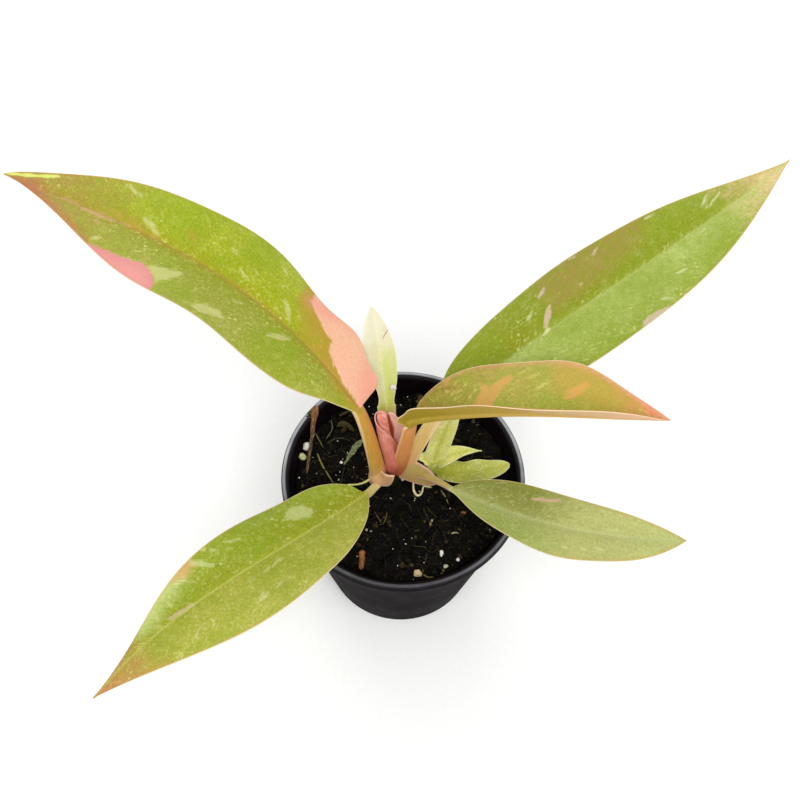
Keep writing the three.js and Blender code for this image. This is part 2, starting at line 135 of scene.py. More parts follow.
def skinned(tree, shader, colour, pattern, rough, relief):
    """Joins a colour to the shader, and the roughness and relief that follow one pattern."""
    tree.links.new(colour, shader.inputs["Base Color"])
    satin = add(tree, "MapRange", {0: pattern, 1: 0.3, 2: 0.7, 3: rough[0], 4: rough[1]})
    tree.links.new(satin.outputs[0], shader.inputs["Roughness"])
    bump = add(tree, "Bump", {"Height": pattern, "Strength": relief[0], "Distance": relief[1]})
    tree.links.new(bump.outputs[0], shader.inputs["Normal"])


paper, tree, shader = surface("matt_white_paper", specular=0.2)
spot = add(tree, "TexCoord").outputs["Object"]
fibre = add(tree, "TexNoise", {"Vector": spot, "Scale": 900, "Detail": 3})
shade = add(tree, "ValToRGB", {0: fibre.outputs[0]}, stops=[(0.3, "#FAFAF9"), (0.7, "#FDFDFC")])
tree.links.new(shade.outputs[0], shader.inputs["Base Color"])
shader.inputs["Roughness"].default_value = 0.9

floor_mesh = bpy.data.meshes.new("paper_floor")
floor_mesh.from_pydata([(-4, -4, 0), (4, -4, 0), (4, 4, 0), (-4, 4, 0)], [], [(0, 1, 2, 3)])
floor_mesh.materials.append(paper)
floor = bpy.data.objects.new("paper_floor", floor_mesh)
scene.collection.objects.link(floor)
floor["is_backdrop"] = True

room = bpy.data.worlds.new("white_room")
room.use_nodes = True
room.node_tree.nodes["Background"].inputs["Color"].default_value = linear("#FDFEFF")
room.node_tree.nodes["Background"].inputs["Strength"].default_value = 0.62
scene.world = room

for name, place, size, power in (("window", (-0.25, 1.0, 1.05), 1.1, 6.0),
                                 ("soft_box", (0.12, -0.62, 1.0), 0.7, 9.0)):
    lamp = bpy.data.lights.new(name, "AREA")
    lamp.size = size
    lamp.energy = power
    light = bpy.data.objects.new(name, lamp)
    light.location = place
    light.rotation_euler = (-Vector(place)).to_track_quat("-Z", "Y").to_euler()
    scene.collection.objects.link(light)

# Pot: one injection-moulded polypropylene shell with a flat lip, a tapered wall and six drain
# holes. The wall is smooth and satin black. The lip is greyed partly by wear and dried dust and partly
# by a painted highlight, a light ring that is painted darker towards the front as painted shade.

POT_HEIGHT = 48
BASE_RADIUS = 19.5
WALL_TOP_RADIUS = 29.1
WALL = 1.2
POT_FLOOR = 1.5
POT_SIDES = 168
LIP_DEPTH = 2.4
DRAIN_HOLES = 6
DRAIN_RADIUS = 2.5
DRAIN_CIRCLE = 12.5


def wall_radius(z):
    """The outside radius of the tapered wall at a height."""
    return BASE_RADIUS + (WALL_TOP_RADIUS - BASE_RADIUS) * z / POT_HEIGHT


def arc(r, z, radius, start, end, steps=5):
    """Points of a rounded corner on a turned profile, from one angle to another in degrees."""
    turn = np.radians(np.linspace(start, end, steps))
    return [(r + radius * math.cos(a), z + radius * math.sin(a)) for a in turn]


def turned(profile, sides):
    """Spins a profile of (radius, height) about the upright axis. A radius of 0 closes it."""
    points, rows = [], []
    for r, z in profile:
        if r == 0:
            rows.append([len(points)] * sides)
            points.append((0, 0, z))
            continue
        rows.append(list(range(len(points), len(points) + sides)))
        points += [(r * math.cos(a), r * math.sin(a), z)
                   for a in np.linspace(0, 2 * math.pi, sides, endpoint=False)]
    faces = []
    for low, high in zip(rows, rows[1:]):
        for i in range(sides):
            k = (i + 1) % sides
            corners = [low[i], low[k], high[k], high[i]]
            faces.append(tuple(dict.fromkeys(corners)))
    return points, faces


def make_piece(name, parts, slot, *replaced, sharp=40):
    """Joins parts, which are (points, faces, {attribute: values}), into one smooth-shaded piece.

    It rides on the plant's one body and stands for the CAD nodes. Its slot argument is not used.
    """
    points = np.vstack([part[0] for part in parts]) * 0.001
    starts = np.cumsum([0] + [len(part[0]) for part in parts])
    faces = [tuple(i + start for i in face) for part, start in zip(parts, starts) for face in part[1]]
    mesh = bpy.data.meshes.new(name)
    mesh.from_pydata(points.tolist(), [], faces)
    tidy = bmesh.new()
    tidy.from_mesh(mesh)
    bmesh.ops.recalc_face_normals(tidy, faces=tidy.faces)
    tidy.to_mesh(mesh)
    tidy.free()
    for key in parts[0][2]:
        values = np.concatenate([np.asarray(part[2][key], np.float32) for part in parts])
        kind, field = ("FLOAT", "value") if values.ndim == 1 else ("FLOAT_VECTOR", "vector")
        mesh.attributes.new(key, kind, "POINT").data.foreach_set(field, values.ravel())
    mesh.shade_smooth()
    mesh.set_sharp_from_angle(angle=math.radians(sharp))
    piece = bpy.data.objects.new(name, mesh)
    scene.collection.objects.link(piece)
    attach(piece, "root")
    if replaced:
        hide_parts(*replaced)
    return piece


lip_foot = POT_HEIGHT - LIP_DEPTH
pot_profile = ([(0, 0)] + arc(18.3, 0.6, 0.6, -90, -15)
               + [(wall_radius(1.2), 1.2), (wall_radius(16), 16), (wall_radius(31), 31),
                  (wall_radius(lip_foot - 0.4), lip_foot - 0.4)]
               + arc(wall_radius(lip_foot) + 0.35, lip_foot - 0.25, 0.35, 180, 100, 4)
               + arc(29.55, lip_foot + 0.55, 0.45, -90, 0) + arc(29.45, 47.45, 0.55, 0, 90)
               + arc(28.75, 47.65, 0.35, 90, 165)
               + [(wall_radius(46.8) - WALL, 46.8), (wall_radius(31) - WALL, 31),
                  (wall_radius(16) - WALL, 16)]
               + arc(17.6, POT_FLOOR + 1.1, 1.1, 0, -90) + [(0, POT_FLOOR)])
points, faces = turned(pot_profile, POT_SIDES)
pot = make_piece("moulded_pot", [(points, faces, {})], "pot", "pot", sharp=55)

drills = []
for i in range(DRAIN_HOLES):
    angle = math.tau * i / DRAIN_HOLES
    points, faces = turned([(0, -1), (DRAIN_RADIUS, -1), (DRAIN_RADIUS, 4), (0, 4)], 40)
    middle = (DRAIN_CIRCLE * math.cos(angle), DRAIN_CIRCLE * math.sin(angle), 0)
    drills.append((np.array(points) + middle, faces))
drill_mesh = bpy.data.meshes.new("drain_holes")
starts = np.cumsum([0] + [len(points) for points, _ in drills])
drill_points = np.vstack([points for points, _ in drills]) * 0.001
drill_faces = [tuple(i + start for i in face)
               for (_, faces), start in zip(drills, starts) for face in faces]
drill_mesh.from_pydata(drill_points.tolist(), [], drill_faces)
drill = bpy.data.objects.new("drain_holes", drill_mesh)
scene.collection.objects.link(drill)
cut = pot.modifiers.new("drain_holes", "BOOLEAN")
cut.object = drill
cut.solver = "EXACT"
bored = bpy.data.meshes.new_from_object(pot.evaluated_get(bpy.context.evaluated_depsgraph_get()))
slivers = bmesh.new()
slivers.from_mesh(bored)
bmesh.ops.triangulate(slivers, faces=[face for face in slivers.faces if len(face.verts) > 4])
bmesh.ops.dissolve_degenerate(slivers, dist=2e-6, edges=slivers.edges)
slivers.to_mesh(bored)
slivers.free()
pot.modifiers.clear()
pot.data = bored
bpy.data.objects.remove(drill)

# Moulded black polypropylene, pigmented with carbon: IOR 1.49, dull satin from a spark-eroded
# mould. It gives a near-black purple wall with faint highlights, darker than the bare plastic as
# painted shade, and a slate-grey lip that is partly rubbed wear and partly a painted highlight.
polypropylene, tree, shader = surface("moulded_black_polypropylene", 1.49, 0.04)
spot = add(tree, "TexCoord").outputs["Object"]
axes = add(tree, "SeparateXYZ", {0: spot})
patches = add(tree, "TexNoise", {"Vector": spot, "Scale": 1000 / 7, "Detail": 5, "Roughness": 0.6})
dust = add(tree, "TexNoise", {"Vector": spot, "Scale": 1000 / 1.1, "Detail": 4, "Roughness": 0.7})
flattened = add(tree, "Mapping", {"Vector": spot, "Scale": (1000, 1000, 0)}).outputs[0]
radius = add(tree, "VectorMath", {0: flattened}, operation="LENGTH").outputs["Value"]
# the lip's grey ring: a painted highlight on the top of the lip, broken into patches of wear, and painted
# darker towards the front as painted shade
lip_wear_and_highlight = add(tree, "MapRange", {0: axes.outputs[2], 1: 0.0472, 2: 0.0477, 3: 0.0, 4: 1.0}).outputs[0]
for value, low, high, at_low, at_high in (
        (radius, 28.85, 29.15, 0.05, 1.0), (radius, 29.6, 29.8, 1.0, 0.2),
        (axes.outputs[1], -0.028, 0.006, 0.2, 1.0), (patches.outputs[0], 0.3, 0.62, 0.6, 1.0)):
    share = add(tree, "MapRange", {0: value, 1: low, 2: high, 3: at_low, 4: at_high}).outputs[0]
    lip_wear_and_highlight = add(tree, "Math", {0: lip_wear_and_highlight, 1: share}, operation="MULTIPLY").outputs[0]
# the wall's near-black purple is darker than the bare plastic, as painted shade
body = add(tree, "ValToRGB", {0: patches.outputs[0]}, stops=[(0.35, "#080305"), (0.7, "#11080D")])
dusty = add(tree, "MapRange", {0: dust.outputs[0], 1: 0.66, 2: 0.8, 3: 0.0, 4: 0.14}).outputs[0]
worn_and_highlit = coated(tree, body.outputs[0], [(lip_wear_and_highlight, "#ACAEB6"), (dusty, "#8A8480")])
tree.links.new(worn_and_highlit, shader.inputs["Base Color"])
rough = add(tree, "MapRange", {0: patches.outputs[0], 1: 0.3, 2: 0.7, 3: 0.62, 4: 0.76})
tree.links.new(rough.outputs[0], shader.inputs["Roughness"])
grain = add(tree, "TexNoise", {"Vector": spot, "Scale": 1000 / 0.35, "Detail": 3})
relief = add(tree, "Bump", {"Height": grain.outputs[0], "Strength": 0.25, "Distance": 0.00004})
tree.links.new(relief.outputs[0], shader.inputs["Normal"])
pot.data.materials.clear()
pot.data.materials.append(polypropylene)

# Potting mix: damp, nearly black peat that fills the pot to 5 mm below the rim. Its top is a
# crust of crumbs, broken bark and root fibre, with white specks of perlite pressed in.

SOIL_LEVEL = 43
CROWN = (-2.5, 0.8)


def lattice(x, y, seed):
    """Smooth random heights from 0 to 1, one cell to each unit of x and y."""
    grid = np.random.default_rng(seed).random((97, 97))
    i, j = np.floor(x).astype(int), np.floor(y).astype(int)
    u, v = x - i, y - j
    u, v = u * u * (3 - 2 * u), v * v * (3 - 2 * v)
    low = grid[i % 97, j % 97] * (1 - u) + grid[(i + 1) % 97, j % 97] * u
    high = grid[i % 97, (j + 1) % 97] * (1 - u) + grid[(i + 1) % 97, (j + 1) % 97] * u
    return low * (1 - v) + high * v


def soil_height(x, y):
    """The lie of the soil as in the solid model, level round the crown."""
    u = np.clip((np.hypot(x - CROWN[0], y - CROWN[1]) - 5) / 5, 0, 1)
    lumps = (0.55 * np.sin(0.55 * x + 1.3) * np.cos(0.6 * y - 0.4)
             + 0.4 * np.sin(1.15 * x - 0.8 * y + 0.7) + 0.25 * np.cos(1.6 * y + 0.9 * x))
    return SOIL_LEVEL + lumps * u * u * (3 - 2 * u)


def crumbled(x, y):
    """The same ground with its crumbs: lumps of 3 mm down to grains of 0.35 mm."""
    height = soil_height(x, y)
    for size, lift, seed in ((3.1, 0.75, 1), (1.6, 0.55, 2), (0.8, 0.34, 3), (0.38, 0.18, 4)):
        warp = lattice(x / size * 0.7, y / size * 0.7, seed + 20)
        wave = lattice(x / size + 2 * warp, y / size - 1.5 * warp, seed)
        height = height + lift * (1 - abs(2 * wave - 1)) - 0.6 * lift
    return height


def ring_faces(rows, count, closed=True):
    """Faces between rings of points, and fans that close both ends on two points listed last."""
    faces = [(i * count + j, i * count + (j + 1) % count,
              (i + 1) * count + (j + 1) % count, (i + 1) * count + j)
             for i in range(rows - 1) for j in range(count)]
    if closed:
        first, last, end = rows * count, rows * count + 1, (rows - 1) * count
        faces += [(first, (j + 1) % count, j) for j in range(count)]
        faces += [(last, end + j, end + (j + 1) % count) for j in range(count)]
    return faces


SOIL_RINGS, SOIL_SECTORS = 112, 336
SOIL_REACH = 26.45
ring_r = np.linspace(0, SOIL_REACH, SOIL_RINGS + 1)[1:]
angles = np.linspace(0, 2 * np.pi, SOIL_SECTORS, endpoint=False)
ground_x = np.outer(ring_r, np.cos(angles))
ground_y = np.outer(ring_r, np.sin(angles))
top = np.dstack([ground_x, ground_y, crumbled(ground_x, ground_y)]).reshape(-1, 3)
skirt = []
for r, z in ((26.2, 40.5), (wall_radius(22) - 1.5, 22), (wall_radius(3.3) - 1.5, 3.3), (17.4, 1.8)):
    skirt.append(np.column_stack([r * np.cos(angles), r * np.sin(angles), np.full(SOIL_SECTORS, z)]))
hub = np.array([[0, 0, crumbled(np.array([0.0]), np.array([0.0]))[0]], [0, 0, 1.8]])
points = np.vstack([top, *skirt, hub])
faces = ring_faces(SOIL_RINGS + len(skirt), SOIL_SECTORS)
soil = make_piece("potting_mix", [(points, faces, {})], "soil", "soil", sharp=80)

# Damp peat: nearly black and rough, with clods of olive and brown and a faint glint on wet crumbs.
peat, tree, shader = surface("damp_peat", 1.4, 0.12)
spot = add(tree, "TexCoord").outputs["Object"]
clods = add(tree, "TexNoise", {"Vector": spot, "Scale": 1000 / 2.4, "Detail": 6, "Roughness": 0.7})
crumb = add(tree, "TexNoise", {"Vector": spot, "Scale": 1000 / 0.45, "Detail": 4, "Roughness": 0.7})
tone = add(tree, "ValToRGB", {0: clods.outputs[0]},
           stops=[(0.35, "#020202"), (0.5, "#060504"), (0.6, "#100E08"), (0.72, "#221E0E")])
flecked = add(tree, "MapRange", {0: crumb.outputs[0], 1: 0.6, 2: 0.72, 3: 0.0, 4: 0.6})
brown = coated(tree, tone.outputs[0], [(flecked.outputs[0], "#302C1C")])
tree.links.new(brown, shader.inputs["Base Color"])
wet = add(tree, "MapRange", {0: clods.outputs[0], 1: 0.35, 2: 0.6, 3: 0.5, 4: 0.95})
tree.links.new(wet.outputs[0], shader.inputs["Roughness"])
relief = add(tree, "Bump", {"Height": crumb.outputs[0], "Strength": 0.8, "Distance": 0.00018})
tree.links.new(relief.outputs[0], shader.inputs["Normal"])
soil.data.materials.append(peat)

# Stem: a short fleshy stem that runs down into the soil and sends out four white roots. The leaf
# stalks spring from its top and hide it.


def smooth_route(guide, places):
    """Points on a smooth curve through the guide points, at shares of its length."""
    guide = np.array(guide, float)
    ends = np.vstack([2 * guide[0] - guide[1], guide, 2 * guide[-1] - guide[-2]])
    u = np.linspace(0, len(guide) - 1, 40 * (len(guide) - 1) + 1)
    i = np.minimum(u.astype(int), len(guide) - 2)
    w = (u - i)[:, None]
    a, b, c, d = ends[i], ends[i + 1], ends[i + 2], ends[i + 3]
    curve = 0.5 * (2 * b + (c - a) * w + (2 * a - 5 * b + 4 * c - d) * w ** 2
                   + (3 * b - a - 3 * c + d) * w ** 3)
    run = np.concatenate([[0], np.cumsum(np.linalg.norm(np.diff(curve, axis=0), axis=1))])
    return np.column_stack([np.interp(places, run / run[-1], curve[:, k]) for k in range(3)]), run[-1]


def unit(v):
    """The same directions at length 1."""
    return v / np.linalg.norm(v, axis=-1, keepdims=True)


def tube(guide, radii, sides=20, steps=40, knobs=0.0, seed=0):
    """A round, slightly uneven grown body along a route, with closed, rounded ends."""
    places = np.linspace(0, 1, steps + 1)
    centre, length = smooth_route(guide, places)
    along = unit(np.gradient(centre, axis=0))
    radius = np.interp(places, np.linspace(0, 1, len(radii)), radii)
    from_end = np.minimum(places, 1 - places) * length / radius.max()
    cap = np.minimum(1, np.sqrt(np.clip(from_end, 0, 1)) + 0.15)
    across = np.cross(along[0], (0.31, 0.52, 0.8))
    turn = np.linspace(0, 2 * np.pi, sides, endpoint=False)
    cosine, sine = np.cos(turn), np.sin(turn)
    rings = []
    for i in range(steps + 1):
        across = unit(across - along[i] * (across @ along[i]))
        other = np.cross(along[i], across)
        uneven = 1 + knobs * (2 * lattice(cosine * 2 + 5 + i * 0.23, sine * 2 + 9, seed) - 1)
        size = (radius[i] * cap[i] * uneven)[:, None]
        rings.append(centre[i] + size * (cosine[:, None] * across + sine[:, None] * other))
    points = np.vstack(rings + [centre[:1], centre[-1:]])
    faces = ring_faces(steps + 1, sides)
    run = np.repeat(places * length, sides)
    around = np.tile(np.linspace(0, 1, sides, endpoint=False), steps + 1)
    streak = np.column_stack([around * 6 * radius.max(), run, np.full(len(run), seed * 1.0)])
    streak = np.vstack([streak, streak[:1], streak[-1:]])
    return points, faces, {"run": streak}


stem_parts = [tube([[*CROWN, 27], [*CROWN, 36], [*CROWN, 42], [CROWN[0], CROWN[1] + 1.4, 46]],
                   [1.6, 2.3, 2.8, 2.4, 1.3], 32, 40, 0.05, 3)]
for i, bearing in enumerate((20, 115, 200, 290)):
    dx, dy = math.cos(math.radians(bearing)), math.sin(math.radians(bearing))
    route = [[CROWN[0] + r * dx, CROWN[1] + r * dy, z]
             for r, z in zip((0.3, 4, 6.5 + i * 0.8, 8 + i), (31 - i, 25 - i, 17, 9 + i))]
    stem_parts.append(tube(route, [1.1, 1, 0.7, 0.4], 14, 40, 0.1, 4 + i))
stem = make_piece("short_stem", stem_parts, "stem", "stem")

# Young stem skin: fleshy and waxy, with brown lengthwise streaks, painted near black all over as painted
# shade, for the crown shades it down to the soil.
stem_skin, tree, shader = surface("fleshy_stem_painted_shade", 1.42, 0.1)
run = add(tree, "Attribute", attribute_name="run").outputs["Vector"]
stretched = add(tree, "Mapping", {"Vector": run, "Scale": (2.2, 0.5, 1)})
streaks = add(tree, "TexNoise", {"Vector": stretched.outputs[0], "Scale": 1.0, "Detail": 4})
# near black tones: painted shade
tone = add(tree, "ValToRGB", {0: streaks.outputs[0]},
           stops=[(0.3, "#0E0A06"), (0.55, "#17120A"), (0.8, "#221C10")])
skinned(tree, shader, tone.outputs[0], streaks.outputs[0], (0.38, 0.55), (0.3, 0.0001))
stem.data.materials.append(stem_skin)

# Leaves: each is one grown piece, a channelled stalk that runs on as the midrib of a thin, satin
# blade. The two halves of a blade differ, and on some leaves the paler near half is partly a painted
# highlight. Its margin waves, and its cells carry the cream, pink and orange marks of a variegated
# plant, which follow the side veins; one pale patch on the lower left leaf is a painted highlight.

BLADE_THICKNESS = 0.45
FIRST_SECTION = (1 / 18) ** 1.15
LOBE_PLACES = ((0.05, 0.06), (0.2, 0.11), (0.42, 0.14), (0.7, 0.16))
NO_MARK = -6.0


def cubic(guide, places):
    """Points and directions on a cubic curve at shares of its length, and that length."""
    a, b, c, d = np.array(guide, float)

    def curve(u):
        return (1 - u) ** 3 * a + 3 * (1 - u) ** 2 * u * b + 3 * (1 - u) * u ** 2 * c + u ** 3 * d

    u = np.linspace(0, 1, 801)[:, None]
    run = np.concatenate([[0], np.cumsum(np.linalg.norm(np.diff(curve(u), axis=0), axis=1))])
    at = np.interp(places, run / run[-1], u[:, 0])[:, None]
    slope = (1 - at) ** 2 * (b - a) + 2 * (1 - at) * at * (c - b) + at ** 2 * (d - c)
    return curve(at), unit(slope), run[-1]


def half_blade(width, rise, fall, wave=(0.2, 2, 0), fold=12, bend=-8, lobes=(0, 0, 0, 0), base=0.75):
    """One half of a blade, in millimetres and degrees.

    rise, fall  how steeply its width grows from the base and dies away to the tip
    wave        height, count and start of the waves of its margin
    fold, bend  how far it lifts at the rib, and bends from there to the margin
    lobes       how much wider it is at four places, and base is how blunt its start is
    """
    return dict(width=width, rise=rise, fall=fall, wave=wave, fold=fold, bend=bend, lobes=lobes,
                base=base)


def half_width(half, t):
    """How far one half of the blade reaches from its rib, from the base to the tip."""
    widest = half["rise"] / (half["rise"] + half["fall"])
    u = np.clip(t, FIRST_SECTION, 1)
    lobed = 1 + sum(k * np.exp(-(((u - p) / r) ** 2))
                    for k, (p, r) in zip(half["lobes"], LOBE_PLACES))
    rising = half["width"] * lobed * (u / widest) ** half["rise"]
    full = rising * ((1 - u) / (1 - widest)) ** half["fall"]
    return full * np.clip(t / FIRST_SECTION, 0, 1) ** half["base"]


def inside(along, across, outline):
    """Signed distance in millimetres from the edge of a mark, positive within it."""
    corners = np.array(outline, float)
    p = np.stack([along, across], -1)[..., None, :]
    a, b = corners, np.roll(corners, -1, axis=0)
    edge = b - a
    share = np.clip(((p - a) * edge).sum(-1) / (edge ** 2).sum(-1), 0, 1)
    away = np.linalg.norm(p - a - share[..., None] * edge, axis=-1).min(-1)
    crosses = (a[:, 1] > p[..., 1]) != (b[:, 1] > p[..., 1])
    climb = np.where(edge[:, 1] == 0, 1e-9, edge[:, 1])
    beyond = p[..., 0] < a[:, 0] + (p[..., 1] - a[:, 1]) * edge[:, 0] / climb
    within = (crosses & beyond).sum(-1) % 2 == 1
    return np.where(within, away, -away)


def stroke(along, across, line):
    """The same for a short streak: (along, across) at both ends and its half-width."""
    x0, y0, x1, y1, half = line
    dx, dy = x1 - x0, y1 - y0
    share = np.clip(((along - x0) * dx + (across - y0) * dy) / (dx * dx + dy * dy), 0, 1)
    away = np.hypot(along - x0 - share * dx, across - y0 - share * dy)
    return half * (1 - 0.5 * abs(2 * share - 1)) - away


def grown_leaf(leaf, marks=None, step=0.5, columns=30):
    """One leaf as a closed sheet, with what its skin needs to know at each point.

    stalk   route points between the foot and the blade, in millimetres
    rib     four points that guide the midrib from the blade's base to its tip
    rod     half-width and depth of the stalk at its foot and at the blade, and of the rib's end
    turn    how far the stalk's foot is rolled, in degrees, and roll is the same for the blade
    """
    foot_guide = [*leaf["stalk"], leaf["rib"][0]]
    stalk_length = cubic(foot_guide, [0])[2]
    blade_length = cubic(leaf["rib"], [0])[2]
    s = np.linspace(0, 1, max(int(stalk_length / step), 6) + 1)[:-1]
    t = np.linspace(0, 1, max(int(blade_length / step), 20) + 1) ** 1.15
    low, low_way, _ = cubic(foot_guide, s)
    high, high_way, _ = cubic(leaf["rib"], t)
    up = np.array([0, 0, 1.0])
    centre, along = np.vstack([low, high]), np.vstack([low_way, high_way])
    place = np.concatenate([(s - 1) * stalk_length, t * blade_length])
    side = np.vstack([np.tile(unit(np.cross(high_way[0], up)), (len(s), 1)), np.cross(high_way, up)])
    apart = (place[:, None] - place[None]) / min(1.8, stalk_length / 4)
    ease = np.exp(-apart ** 2) * np.gradient(place)
    ease /= ease.sum(1, keepdims=True)
    centre = centre + (ease @ centre - centre) * np.exp(-(place / 4) ** 2)[:, None]
    along = unit(ease @ along)
    side = ease @ side
    side = unit(side - along * (side * along).sum(1, keepdims=True))
    over = np.cross(side, along)
    turns = np.concatenate([leaf["turn"] + (leaf["roll"][0] - leaf["turn"]) * s,
                            leaf["roll"][0] + (leaf["roll"][1] - leaf["roll"][0]) * t])
    roll = np.radians(turns)[:, None]
    side, over = side * np.cos(roll) + over * np.sin(roll), over * np.cos(roll) - side * np.sin(roll)

    foot, joint, end = np.array(leaf["rod"], float)
    rod = np.vstack([foot + (joint - foot) * (s ** 0.7)[:, None],
                     joint + (end - joint) * (t ** 0.5)[:, None]])
    half_rod, depth = rod[:, :1], rod[:, 1:]
    blade_t = np.concatenate([s * 0, t])[:, None]
    u = np.linspace(0, 1, columns + 1)
    v = (0.6 * u + 0.4 * (0.5 - 0.5 * np.cos(np.pi * u)))[None]
    faces_up, faces_down, notes = [], [], []
    for sign, half in ((-1, leaf["left"]), (1, leaf["right"])):
        blade = half_width(half, blade_t)
        width = np.maximum(np.hypot(half_rod * (1 - blade_t), blade), 0.12)
        spread = blade / (blade + half_rod)
        fold, bend = np.radians(half["fold"]) * spread, np.radians(half["bend"]) * spread
        bend = np.where(abs(bend) < 1e-6, 1e-6, bend)
        slope = fold + bend * v
        out = width * (np.sin(slope) - np.sin(fold)) / bend
        height, count, start = half["wave"]
        wave = height * v * v * np.sin(2 * np.pi * (count * blade_t + start)) * np.sin(np.pi * blade_t)
        lift = width * (np.cos(fold) - np.cos(slope)) / bend + wave
        normal = over[:, None] * np.cos(slope)[..., None] - sign * side[:, None] * np.sin(slope)[..., None]
        middle = centre[:, None] + sign * side[:, None] * out[..., None] + over[:, None] * lift[..., None]
        far = width * v
        belly = np.sqrt(np.clip(1 - (far / half_rod) ** 2, 0, 1))
        skin = BLADE_THICKNESS / 2 * (1 - 0.6 * v ** 5) * np.clip(0.35 + 3 * (1 - blade_t), 0, 1)
        groove = 0.2 * np.exp(-(far / 0.55) ** 2) * np.clip(spread * 1.3, 0, 1) * (1 - blade_t)
        rise_up = skin + 0.3 * depth * belly * (1 - spread) - groove
        drop = skin + depth * belly + 0.15 * np.exp(-(far / 0.9) ** 2) * (1 - blade_t)
        upper, lower = middle + normal * rise_up[..., None], middle - normal * drop[..., None]
        order = slice(None, None, -1) if sign < 0 else slice(1, None)
        faces_up.append(upper[:, order])
        faces_down.append(lower[:, order])
        shape = np.broadcast_shapes(far.shape, place[:, None].shape)
        notes.append([np.broadcast_to(value, shape)[:, order] for value in (
            place[:, None], sign * far, width - far, blade_t, np.clip(-place[:, None] / 1.5, 0, 1))])
    upper, lower = np.hstack(faces_up), np.hstack(faces_down)
    run, far, rim, share, stalk = [np.hstack(pair) for pair in zip(*notes)]
    ring = np.hstack([upper, lower[:, ::-1]])
    rows, count = ring.shape[:2]
    points = np.vstack([ring.reshape(-1, 3), ring[0].mean(0), ring[-1].mean(0)])
    faces = ring_faces(rows, count)

    def both(value):
        ringed = np.hstack([value, value[:, ::-1]]).reshape(-1)
        return np.concatenate([ringed, ringed[:1], ringed[-1:]])

    run, far, rim, share, stalk = [both(value) for value in (run, far, rim, share, stalk)]
    upper_face = both(np.ones(upper.shape[:2]))
    upper_face[:-2].reshape(rows, count)[:, upper.shape[1]:] = 0
    vein = run - 1.25 * abs(far) - 0.02 * far ** 2
    notes = {
        "place": np.column_stack([run, far, rim]),
        "zone": np.column_stack([share, stalk, upper_face]),
        "vein": np.column_stack([np.where(stalk > 0, far, vein), np.where(stalk > 0, run, abs(far)),
                                 np.where(far > 0, 7.0, 0.0) + 13 * stalk]),
    }
    for kind, places in (marks or {}).items():
        depth_in = np.full(len(run), NO_MARK)
        for mark in places:
            found = stroke(run, far, mark) if np.ndim(mark) == 1 else inside(run, far, mark)
            depth_in = np.maximum(depth_in, found)
        notes[kind] = np.where(stalk > 0, NO_MARK, np.clip(depth_in, NO_MARK, 6))
    return points, faces, notes


